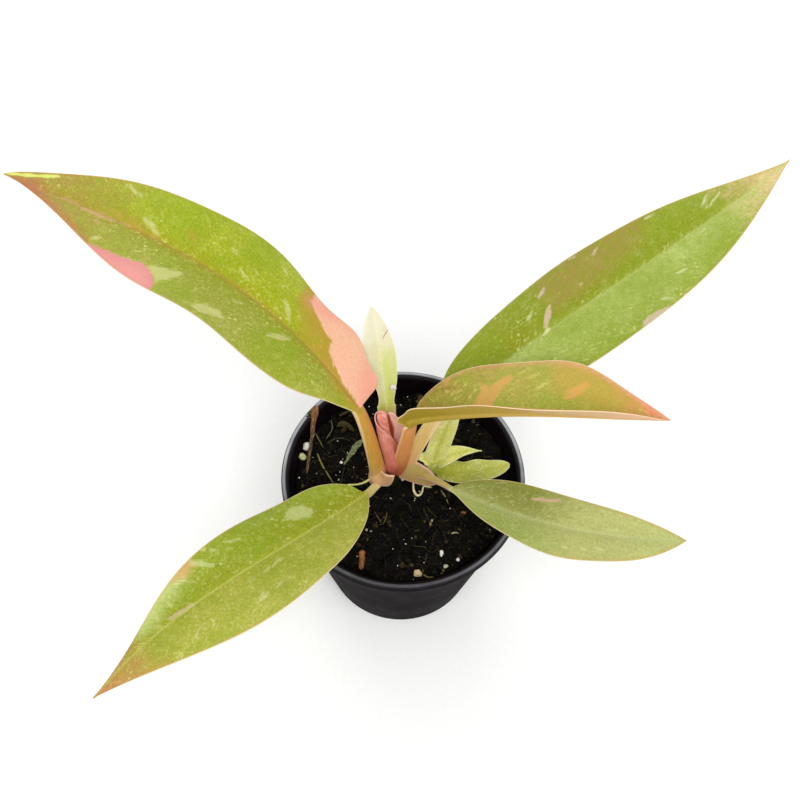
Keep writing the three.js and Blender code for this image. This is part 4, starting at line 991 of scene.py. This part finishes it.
for name, leaf in LEAVES.items():
    fine = 0.3 if name == "leaf_small_upright" else 0.5
    parts = [grown_leaf(leaf, MARKS.get(name), fine, 16 if fine < 0.5 else 30)]
    if name in FEET:
        rows, (foot, top), thickness = FEET[name]
        points, faces, run, rim = sheath(rows, thickness)
        down = foot + (top - foot) * run[:, 1] / run[:, 1].max()
        parts.append((points, faces, stalk_notes(run, MARKS[name], down, 0.3 * rim, 2.4 * run[:, 2] - 1.2)))
    if name == "leaf_lower_left":
        points, faces, notes = tube(MARGIN_STRAND, [0.3, 0.24, 0.22, 0.2], 12, 30)
        parts.append((points, faces, stalk_notes(notes["run"], MARKS[name], 6.0, 1.0)))
    piece = make_piece("grown_" + name, parts, SLOTS.get(name, name), name)
    piece.data.materials.append(leaf_skin("satin_skin_of_" + name, LOOKS[name]))

# New leaf: the next leaf, still rolled round itself into a salmon-pink spindle. One margin winds up
# the front of the roll, and the other half stands open behind it as a lobe with a hollow painted dark
# red, partly painted shade, and an open face painted pale pink as painted light.

SPINDLE = [[-2.9, 1.5, 44.6], [-3.05, 1.35, 50], [-2.8, 1.5, 53], [-3.8, 1.9, 59], [-4.75, 2.2, 64.6],
           [-5.15, 2.4, 68.4], [-5.5, 2.5, 71.3], [-5.65, 2.5, 73.5]]
SPINDLE_RADII = [0.9, 1.85, 2.35, 2.2, 1.95, 1.8, 1.65, 1.5]
MARGIN_BEARINGS = [20, 10, 5, 0, -28, -75, -165, -215]
ROLL_TURNS = 1.4
SHEET = 0.3

steps, wraps = 130, 110
places = np.linspace(0, 1, steps + 1)
centre, spindle_length = smooth_route(SPINDLE, places)
along = unit(np.gradient(centre, axis=0))
guide_places = np.concatenate([[0], np.cumsum(np.linalg.norm(np.diff(SPINDLE, axis=0), axis=1))])
guide_places /= guide_places[-1]
radius = np.interp(places, guide_places, SPINDLE_RADII)
radius *= np.sqrt(np.clip(1 - np.clip(1 - (1 - places) * spindle_length / 1.3, 0, 1) ** 2, 0.03, 1))
turn = np.linspace(0, 2 * np.pi * ROLL_TURNS, wraps + 1)
margin_bearing = np.radians(np.interp(places, guide_places, MARGIN_BEARINGS))
bearing = margin_bearing[:, None] - (turn[-1] - turn)
spiral = 0.55 + 0.45 * turn / turn[-1]
side_x = unit(np.cross((0, 1, 0), along))
side_y = np.cross(along, side_x)
out_way = np.cos(bearing)[..., None] * side_x[:, None] + np.sin(bearing)[..., None] * side_y[:, None]
outer = centre[:, None] + out_way * (radius[:, None] * spiral[None])[..., None]
inner = outer - out_way * np.minimum(SHEET, 0.3 * radius)[:, None, None]
ring = np.hstack([outer, inner[:, ::-1]])
rows, count = ring.shape[:2]
points = ring.reshape(-1, 3)
faces = ring_faces(rows, count, closed=False)
for start in (0, (rows - 1) * count):
    faces += [(start + j, start + j + 1, start + count - 2 - j, start + count - 1 - j)
              for j in range(wraps)]
around = np.hstack([turn, turn[::-1]])
edge = np.hstack([(turn[-1] - turn) * 1.5, (turn[-1] - turn[::-1]) * 1.5])
# the third value of roll: 1 on the roll's outer face, 0 on its inner face, which is painted darker red,
# partly as painted shade
rolled = (points, faces, {
    "roll": np.column_stack([np.tile(around, rows), np.repeat(places * spindle_length, count),
                             np.tile(np.hstack([turn * 0 + 1, turn * 0]), rows)]),
    "free": np.tile(edge, rows)})
LOBE = [[(-2.94, 3.4, 55.8), (-2.35, 4, 55.3), (-1.75, 3.9, 56.1), (-1.2, 3.8, 56.9)],
        [(-3.95, 3.4, 60.8), (-2.9, 4.2, 59.9), (-1.7, 4.2, 60.3), (-0.7, 4.1, 60.8)],
        [(-4.7, 3.5, 65), (-3.4, 4.3, 64.1), (-1.65, 4.4, 64.4), (0.3, 4.2, 64.4)],
        [(-4.95, 3.5, 68.8), (-3.8, 4.2, 68.3), (-2.5, 4.3, 68.4), (-0.9, 4, 67.5)],
        [(-5.05, 3.4, 70.8), (-4.15, 3.9, 71.3), (-3.25, 4, 71.4), (-2.4, 3.8, 70.6)]]
points, faces, run, rim = sheath(LOBE, 0.35, 48, 60)
# across the lobe the third value of roll runs from near 0 in its hollow, painted shade, to 1.8 on its open
# face, painted light
lobe = (points, faces, {
    "roll": np.column_stack([run[:, 0], run[:, 1] + 11,
                             np.interp(run[:, 2], [0, 0.36, 0.48, 1], [0, 0.1, 1.6, 1.8])]),
    "free": rim})
new_leaf = make_piece("rolled_new_leaf", [rolled, lobe], "new_leaf", "new_leaf")

# Young rolled tissue: thin, waxy and pink, with faint lengthwise veins and a dark red inner face, darker
# partly as painted shade. The lobe's open face is painted paler pink as painted light.
tissue, tree, shader = surface("waxy_pink_new_leaf", 1.42, 0.3)
roll = add(tree, "Attribute", attribute_name="roll").outputs["Vector"]
_, up_run, painted_face_light = add(tree, "SeparateXYZ", {0: roll}).outputs
spot = add(tree, "TexCoord").outputs["Object"]
drawn = add(tree, "Mapping", {"Vector": roll, "Scale": (3, 0.22, 0)}).outputs[0]
streaks = add(tree, "TexNoise", {"Vector": drawn, "Scale": 1.0, "Detail": 4}).outputs[0]
blotch = add(tree, "TexNoise", {"Vector": spot, "Scale": 1000 / 3, "Detail": 4}).outputs[0]
free = add(tree, "Attribute", attribute_name="free").outputs["Fac"]
tone = add(tree, "ValToRGB", {0: streaks}, stops=[(0.3, "#CC7466"), (0.5, "#DC877B"), (0.7, "#E8A696")])
# the last three coats: the lobe's open face painted pale as painted light, the inner face and hollow painted
# dark red partly as painted shade, and the pale free margin
coats = [(add(tree, "MapRange", {0: value, 1: low, 2: high, 3: at_low, 4: at_high}).outputs[0], tint)
         for value, low, high, at_low, at_high, tint in (
             (blotch, 0.48, 0.68, 0.0, 0.5, "#EBB09C"), (up_run, 8.0, 24.0, 0.75, 0.0, "#BC5E44"),
             (up_run, 1.0, 5.0, 0.6, 0.0, "#8E3C2C"), (painted_face_light, 1.0, 1.5, 0.0, 1.0, "#FFDDD0"),
             (painted_face_light, 0.9, 0.1, 0.0, 1.0, "#A2442E"), (free, 0.08, 0.3, 0.6, 0.0, "#F0B8A4"))]
skinned(tree, shader, coated(tree, tone.outputs[0], coats), streaks, (0.36, 0.5), (0.35, 0.0001))
new_leaf.data.materials.append(tissue)

# Side shoot: a low shoot beside the crown, three small lime-green leaves and a pale bract that
# stand on one foot. Their bases are painted a darker olive as painted shade of the fold where they meet.

SHOOT_LEAVES = [
    dict(stalk=[[6.8, 4.5, 44.4], [6.9, 4.6, 45], [7, 4.7, 45.4]],
         rib=[[7.3, 4.9, 46.2], [8.6, 6.4, 52.6], [10.3, 7.6, 60], [12, 9.6, 67]],
         rod=[[1.2, 0.8], [1.4, 0.6], [0.3, 0.2]], turn=-20, roll=[-34, -46],
         right=half_blade(2.7, 0.13, 0.3), left=half_blade(2.6, 0.13, 0.3)),
    dict(stalk=[[6.8, 4.4, 44.6], [7.2, 4.7, 45.2], [7.6, 4.8, 45.6]],
         rib=[[8.1, 4.9, 46.2], [11, 5.4, 49.4], [15, 5.6, 51.4], [19, 4.9, 52.6]],
         rod=[[1.1, 0.7], [1, 0.5], [0.3, 0.2]], turn=0, roll=[-12, -10],
         right=half_blade(2.3, 0.25, 1.2), left=half_blade(2.5, 0.3, 1.2)),
    dict(stalk=[[6.8, 4.3, 44.6], [7.4, 3.8, 44.9], [7.9, 3.2, 45.3]],
         rib=[[8.4, 2.6, 45.8], [13.5, 0.4, 48.6], [19.5, 0.4, 50], [26.1, 3.1, 49.5]],
         rod=[[1.1, 0.7], [1, 0.5], [0.3, 0.2]], turn=0, roll=[-12, -6],
         right=half_blade(3, 0.45, 0.5, (0.3, 2, 0.2)),
         left=half_blade(3.1, 0.45, 0.6, (0.6, 2, 0.2), lobes=(0, 0.1, -0.2, -0.06))),
    dict(stalk=[[6.7, 4.4, 44], [6.7, 4.4, 44.6], [6.7, 4.5, 45]],
         rib=[[6.6, 4.6, 45.6], [5.7, 5.2, 46.6], [4.6, 5.3, 47], [3.5, 5, 46.7]],
         rod=[[1.1, 0.6], [1, 0.5], [0.3, 0.2]], turn=0, roll=[0, 0],
         right=half_blade(2.4, 0.35, 0.9), left=half_blade(1.2, 0.4, 0.9)),
]
# each small leaf's share along at its base and tip, which sets how far the darker base, painted shade,
# reaches over it
SHOOT_SHADE_SHARES = ((0.6, 1), (0.35, 1), (0, 0.4), (0.5, 0.8))
parts = [grown_leaf(leaf, None, 0.25, 14) for leaf in SHOOT_LEAVES]
for part, (at_base, at_tip) in zip(parts, SHOOT_SHADE_SHARES):
    part[2]["zone"][:, 0] = at_base + (at_tip - at_base) * part[2]["zone"][:, 0]
foot = tube([[6.4, 4.4, 37], [6.6, 4.5, 42], [6.8, 4.6, 45.6]], [1.2, 1.5, 1.1], 24, 24)
parts.append((*foot[:2], stalk_notes(foot[2]["run"], (), 4, 1.0)))
side_shoot = make_piece("leafy_side_shoot", parts, "side_shoot", "side_shoot")
# the darker olive base of the small leaves is painted shade
side_shoot.data.materials.append(leaf_skin("lime_shoot_skin", dict(
    left=("#DEDA7C", "#DEDC90"), right=("#D6D672", "#DCDA8C"), base=("#7E8A00", 1.0, 0.62),
    green="#BCC050", fleck="#DADC98", tip=("#E4E2BC", 0.9), rib_tint=("#A4AA30", 0.4, 1.0),
    line=("#A4AE38", 0.25, 0.25), blush=("#D0D28C", 0.4, 0.5), margin="#DEDEA8",
    under=("#C9CE86", "#C9CE86", "#D2D690"), stalk=("#B4BE60", "#B4BE60", "#C8CC88"), foot=("#9CA644", 3, 1),
    stalk_edge="#E6E4B8", dots=0.1, streaks=0.1, marks=[])))

# Roots and twigs: a pale aerial root curls out of the crown on to the soil, and two bits of brown
# twig from the mix lie on it.

RUNNERS = {
    "aerial_root": ([[2.6, 0.3, 44.8], [2.7, -2.2, 44.4], [3.6, -3.7, 44.3], [4.65, -3.1, 44.3],
                     [5.1, -1.4, 44.5],
                     [5.8, -1.3, 44.5], [7.2, -1.3, 44.2]], [0.2, 0.25, 0.32, 0.28, 0.22, 0.18, 0.15],
                     "root", 0.08),
    "twig_long": ([[-22.5, 17.8, 49.8], [-22.8, 14.5, 48.7], [-23.4, 8, 45.6], [-24.1, 1.5, 43.6]],
                  [0.86, 0.62, 0.46, 0.4, 0.34, 0.24], "twig", 0.45),
    "twig_short": ([[-9.4, -19.2, 45.2], [-9.3, -21.4, 44.2], [-9.5, -23.6, 43.4]], [0.75, 0.65, 0.5],
                   "twig", 0.25),
}

root_skin, tree, shader = surface("pale_root_skin")
run = add(tree, "Attribute", attribute_name="run").outputs["Vector"]
drawn = add(tree, "Mapping", {"Vector": run, "Scale": (2, 1.2, 1)}).outputs[0]
streaks = add(tree, "TexNoise", {"Vector": drawn, "Scale": 1.0, "Detail": 4}).outputs[0]
tone = add(tree, "ValToRGB", {0: streaks}, stops=[(0.35, "#B5B070"), (0.55, "#D2CE9C"), (0.7, "#E4E0C2")])
skinned(tree, shader, tone.outputs[0], streaks, (0.45, 0.7), (0.5, 0.0001))

# Dead twigs: dry, cracked bark, grey-brown on the long one and a fresher orange-brown on the short one.
bark = {}
for name, stops in (("twig_long", [(0.38, "#140D07"), (0.5, "#43301A"), (0.64, "#9C7844")]),
                    ("twig_short", [(0.36, "#2A1208"), (0.54, "#74401E"), (0.7, "#B8803E")])):
    material, tree, shader = surface("dry_bark_of_" + name)
    run = add(tree, "Attribute", attribute_name="run").outputs["Vector"]
    drawn = add(tree, "Mapping", {"Vector": run, "Scale": (2.4, 0.6, 1)}).outputs[0]
    streaks = add(tree, "TexNoise", {"Vector": drawn, "Scale": 1.0, "Detail": 6, "Roughness": 0.7}).outputs[0]
    tone = add(tree, "ValToRGB", {0: streaks}, stops=stops).outputs[0]
    up_run = add(tree, "SeparateXYZ", {0: run}).outputs[1]
    broken_end = add(tree, "MapRange", {0: up_run, 1: 2.0, 2: 8.0, 3: 0.4, 4: 0.0}).outputs[0]
    tone = coated(tree, tone, [(broken_end, "#B0703A")])
    skinned(tree, shader, tone, streaks, (0.95, 0.75), (1.0, 0.0002))
    bark[name] = material

for name, (route, radii, slot, knobs) in RUNNERS.items():
    piece = make_piece("fine_" + name, [tube(route, radii, 18, 60, knobs, 11)], slot, name)
    piece.data.materials.append(bark.get(name, root_skin))

# Grains: expanded perlite is a light white glass foam with a pitted, chalky skin, and one grain
# has gone green with algae. The pebble is a bit of beige grit.

GRAINS = {
    "perlite_large": (-24.5, 9.3, 1.25, (0.95, 1, 1)), "perlite_green": (-25.4, 6.5, 1.15, (0.9, 0.9, 0.9)),
    "perlite_left": (-15.6, 5.2, 0.42, (1, 1, 0.9)), "perlite_front": (9.8, -18.8, 0.8, (0.62, 1.15, 0.8)),
    "perlite_right": (13.8, -20.4, 0.52, (1, 1, 0.9)), "pebble": (4.2, -24.0, 1.2, (1, 0.9, 0.85)),
}


def ball(level):
    """A ball of radius 1 made of small triangles."""
    shape = bmesh.new()
    bmesh.ops.create_icosphere(shape, subdivisions=level, radius=1)
    points = np.array([v.co[:] for v in shape.verts])
    faces = [tuple(v.index for v in face.verts) for face in shape.faces]
    shape.free()
    return points, faces


def lumpy(points, seed, depth=0.28):
    """Pushes a ball's points in and out into an irregular grain."""
    a = lattice(points[:, 0] * 1.3 + 9, points[:, 1] * 1.3 + points[:, 2] * 0.9 + 9, seed)
    b = lattice(points[:, 1] * 3.1 + 9, points[:, 2] * 3.1 + points[:, 0] * 1.7 + 9, seed + 1)
    return points * (1 - depth * a - 0.35 * depth * b)[:, None]


chalk = {}
for name, stops in (("perlite", [(0.3, "#BDB7A8"), (0.5, "#E2DFD6"), (0.7, "#F4F2EC")]),
                    ("algae_perlite", [(0.3, "#8A8F52"), (0.5, "#C3C48A"), (0.7, "#E0DFBC")]),
                    ("beige_grit", [(0.3, "#A58A62"), (0.5, "#CDB48C"), (0.7, "#E2D0AE")])):
    material, tree, shader = surface("chalky_" + name)
    spot = add(tree, "TexCoord").outputs["Object"]
    pits = add(tree, "TexNoise", {"Vector": spot, "Scale": 1000 / 0.5, "Detail": 5,
                                  "Roughness": 0.7}).outputs[0]
    tone = add(tree, "ValToRGB", {0: pits}, stops=stops).outputs[0]
    skinned(tree, shader, tone, pits, (0.95, 0.75), (0.9, 0.0002))
    chalk[name] = material

for seed, (name, (x, y, size, stretch)) in enumerate(GRAINS.items()):
    points, faces = ball(5)
    points = lumpy(points, 30 + seed) * stretch * size * 1.1
    points = points + (x, y, soil_height(x, y) + 0.45 * size)
    slot = "pebble" if name == "pebble" else "perlite"
    grain_piece = make_piece("fine_" + name, [(points, faces, {})], slot, name, sharp=80)
    kind = {"pebble": "beige_grit", "perlite_green": "algae_perlite"}.get(name, "perlite")
    grain_piece.data.materials.append(chalk[kind])

# Leaf scrap: a curled, withered bit of an older leaf, dull grey-green.
scrap = grown_leaf(dict(
    stalk=[[-14.9, 4.1, 44.4], [-14.7, 4.4, 44.6], [-14.5, 4.7, 44.8]],
    rib=[[-14.3, 4.9, 45], [-13.2, 6.6, 46], [-11.9, 8.1, 46.8], [-10.3, 9.9, 47.2]],
    rod=[[0.2, 0.12], [0.25, 0.15], [0.3, 0.1]], turn=0, roll=[10, 20],
    right=half_blade(0.8, 0.9, 0.5), left=half_blade(0.95, 0.9, 0.5)), None, 0.15, 12)
leaf_scrap = make_piece("withered_scrap", [scrap], "dry_leaf", "leaf_scrap")
withered, tree, shader = surface("withered_leaf")
vein = add(tree, "Attribute", attribute_name="vein").outputs["Vector"]
streaks = add(tree, "TexNoise", {"Vector": vein, "Scale": 2.0, "Detail": 4}).outputs[0]
tone = add(tree, "ValToRGB", {0: streaks},
           stops=[(0.3, "#2C341A"), (0.5, "#5F6A3A"), (0.72, "#A0A878")]).outputs[0]
skinned(tree, shader, tone, streaks, (0.8, 0.6), (0.8, 0.0002))
leaf_scrap.data.materials.append(withered)

# Peat litter: loose crumbs of peat and bark on the crust, hair-thin fibres of root and coir, bits of
# leaf and moss, and white specks of broken perlite. One speck has stuck to the small upright leaf.

# the bits that catch the eye: x, y and size in millimetres, and tone from black peat to white
BITS = [
    (5.9, -15.9, 0.3, 1.0), (10.8, -22.1, 0.85, 0.86), (10.4, -22.6, 0.5, 0.58), (10.0, -23.5, 0.6, 0.45),
    (-0.7, -22.0, 0.22, 1.0), (7.1, -10.3, 0.75, 0.56), (7.4, -9.5, 0.4, 0.95), (5.5, -10.2, 0.45, 0.42),
    (15.1, -7.6, 0.75, 0.66), (11.8, -6.6, 0.22, 1.0), (3.0, -4.9, 0.35, 0.84), (3.1, -4.2, 0.3, 0.8),
    (-2.9, -4.3, 0.3, 0.84), (8.4, -1.9, 0.4, 0.45), (-25.9, 0.8, 0.4, 1.0), (-15.3, 6.2, 0.28, 1.0),
    (-16.1, 0.9, 0.5, 0.94), (-14.2, 8.1, 0.32, 0.95), (-22.8, 6.6, 0.28, 0.8), (-1.1, 22.5, 0.3, 0.95),
    (4.0, 25.0, 1.0, 0.4), (3.1, 24.2, 0.7, 0.44), (-8.5, -13.0, 0.5, 0.82), (-7.4, -13.3, 0.45, 0.85),
    (-8.2, -15.5, 0.5, 0.43), (22.3, -13.3, 0.6, 0.32), (22.9, -12.0, 0.5, 0.3), (21.6, -12.2, 0.5, 0.38),
    (4.2, -2.4, 0.35, 0.9), (-24.9, -1.5, 0.6, 0.45), (-25.0, -3.2, 0.5, 0.35), (-9.4, -18.8, 0.35, 1.0),
    (0.6, 25.6, 0.3, 1.0),
]
# tufts of moss on the long twig's upper end, with their height
TUFTS = [(-24.2, 15.9, 48.9, 0.6, 0.42), (-24.5, 15.2, 48.8, 0.5, 0.36), (-23.8, 16.6, 49, 0.5, 0.4),
         (-24, 15.1, 48.6, 0.5, 0.46), (-23.4, 16.9, 49.4, 0.4, 0.5)]
SHREDS = [
    ([(-21.8, 7.5), (-20, 3.6), (-17.2, -0.6)], 0.19, 0.56),
    ([(-18.8, 17.4), (-18.4, 14.7), (-19.8, 11.5)], 0.14, 0.5),
    ([(-22.6, 13.1), (-20.3, 9.2)], 0.14, 0.5), ([(-14.6, 4.2), (-15.2, 1.4), (-15.4, -1.1)], 0.2, 0.2),
    ([(-17.2, 15.4), (-15.2, 15.6), (-12.6, 14.4)], 0.6, 0.35),
    ([(-16.9, 18.9), (-15, 19.8), (-13, 19.9)], 0.3, 0.38),
    ([(9.5, -1.7), (10.5, -3), (11.5, -4.8)], 0.11, 0.76),
    ([(-6.8, -7.9), (-5.9, -9.5), (-4.7, -11)], 0.08, 0.5),
    ([(-4.7, -11), (-3.9, -9.5), (-3.7, -7.8)], 0.08, 0.52),
    ([(0.3, -21), (1.1, -22), (2, -22.3), (2.5, -20.9)], 0.07, 0.35),
    ([(5.4, -24.3), (6.7, -24.9), (8.1, -24.7)], 0.15, 0.57),
    ([(12.1, -13.3), (13, -13.1), (14, -13.3)], 0.16, 0.78),
    ([(-13.5, 12), (-11.9, 10.8), (-12.5, 8.6)], 0.16, 0.3),
    ([(-19.5, 10.5), (-17.5, 12.2), (-14.8, 12.6)], 0.12, 0.42),
]

CRUMBS, FIBRES, SPECKS = 1300, 420, 50
rng = np.random.default_rng(7)


def on_soil(count, reach=25.9):
    """Places spread over the soil, off the crown."""
    found = []
    while len(found) < count:
        x, y = rng.uniform(-reach, reach, 2)
        if math.hypot(x, y) < reach and math.hypot(x - CROWN[0], y - CROWN[1]) > 4.5:
            found.append((x, y))
    return found


def ground(x, y):
    """The height of the crumbled ground at one place."""
    return crumbled(np.array([x]), np.array([y]))[0]


ball_points, ball_faces = ball(2)
parts = []
lumps = [(x, y, rng.gamma(2.6, 0.11) + 0.12, rng.random() ** 2.2 * 0.36) for x, y in on_soil(CRUMBS)] + BITS
lumps = [(x, y, ground(x, y) + 0.25 * size, size, shade) for x, y, size, shade in lumps] + TUFTS
for x, y, z, size, shade in lumps:
    spin = rng.normal(size=3)
    turn_by = np.array(Matrix.Rotation(np.linalg.norm(spin) * 2, 3, Vector(spin)))
    lump = lumpy(ball_points, int(rng.integers(1, 900)), 0.5)
    lump = lump * (1, rng.uniform(0.5, 1), rng.uniform(0.4, 1)) * size * 1.2
    parts.append((lump @ turn_by.T + (x, y, z), ball_faces, {"tone": np.full(len(lump), shade)}))
crumbs = make_piece("peat_crumbs", parts, "soil")

parts = []
for x, y in on_soil(FIBRES, 25):
    length = rng.gamma(3, 0.8) + 0.6
    heading, curl = rng.uniform(0, math.tau), rng.normal(0, 0.16)
    route = []
    for k in range(6):
        if math.hypot(x, y) > 25.8:
            break
        route.append([x, y, ground(x, y) + 0.12 + abs(rng.normal(0, 0.2))])
        x, y = x + math.cos(heading) * length / 5, y + math.sin(heading) * length / 5
        heading += curl + rng.normal(0, 0.15)
    if len(route) > 3:
        thin = rng.uniform(0.03, 0.085)
        strand = tube(route, [thin, thin * 1.2, thin * 0.7], 5, 12, 0.1, 5)
        parts.append((*strand[:2], {"tone": np.full(len(strand[0]), rng.beta(2, 4) * 0.62)}))
for route, thick, shade in SHREDS:
    route = [[x, y, ground(x, y) + thick + 0.15] for x, y in route]
    strand = tube(route, [thick * 0.8, thick, thick * 0.9, thick * 0.5], 12, 30, 0.4, 5)
    parts.append((*strand[:2], {"tone": np.full(len(strand[0]), shade)}))
fibres = make_piece("root_and_coir_fibres", parts, "soil")

# Dry plant litter: matt and fibrous, from black peat through brown bark and olive moss to white.
litter, tree, shader = surface("matt_plant_litter", specular=0.2)
tone = add(tree, "Attribute", attribute_name="tone").outputs["Fac"]
spot = add(tree, "TexCoord").outputs["Object"]
grit = add(tree, "TexNoise", {"Vector": spot, "Scale": 1000 / 0.3, "Detail": 4}).outputs[0]
body = add(tree, "ValToRGB", {0: tone}, stops=[(0.0, "#040303"), (0.12, "#14100A"), (0.3, "#3A2C18"),
                                               (0.42, "#4C4A22"),
                                              (0.55, "#7C7A42"), (0.66, "#9A6636"), (0.8, "#A9A984"),
                                              (1.0, "#F0EDE4")]).outputs[0]
uneven = add(tree, "MapRange", {0: grit, 1: 0.3, 2: 0.7, 3: 0.6, 4: 1.15}).outputs[0]
mottled = add(tree, "Mix", {0: 1.0, 6: body, 7: uneven}, data_type="RGBA", blend_type="MULTIPLY").outputs[2]
skinned(tree, shader, mottled, grit, (0.65, 0.95), (0.8, 0.0001))
crumbs.data.materials.append(litter)
fibres.data.materials.append(litter)

STUCK_SPECK = (-2.95, 11.0, 71.3)
parts = [(lumpy(ball(4)[0], 77, 0.4) * (1.0, 0.85, 1.0) + STUCK_SPECK, ball(4)[1], {})]
for x, y in on_soil(SPECKS):
    size = rng.uniform(0.1, 0.28)
    speck = lumpy(ball_points, int(rng.integers(1, 900)), 0.5) * size
    parts.append((speck + (x, y, ground(x, y) + 0.5 * size), ball_faces, {}))
specks = make_piece("perlite_specks", parts, "perlite")
specks.data.materials.append(chalk["perlite"])

low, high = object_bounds()
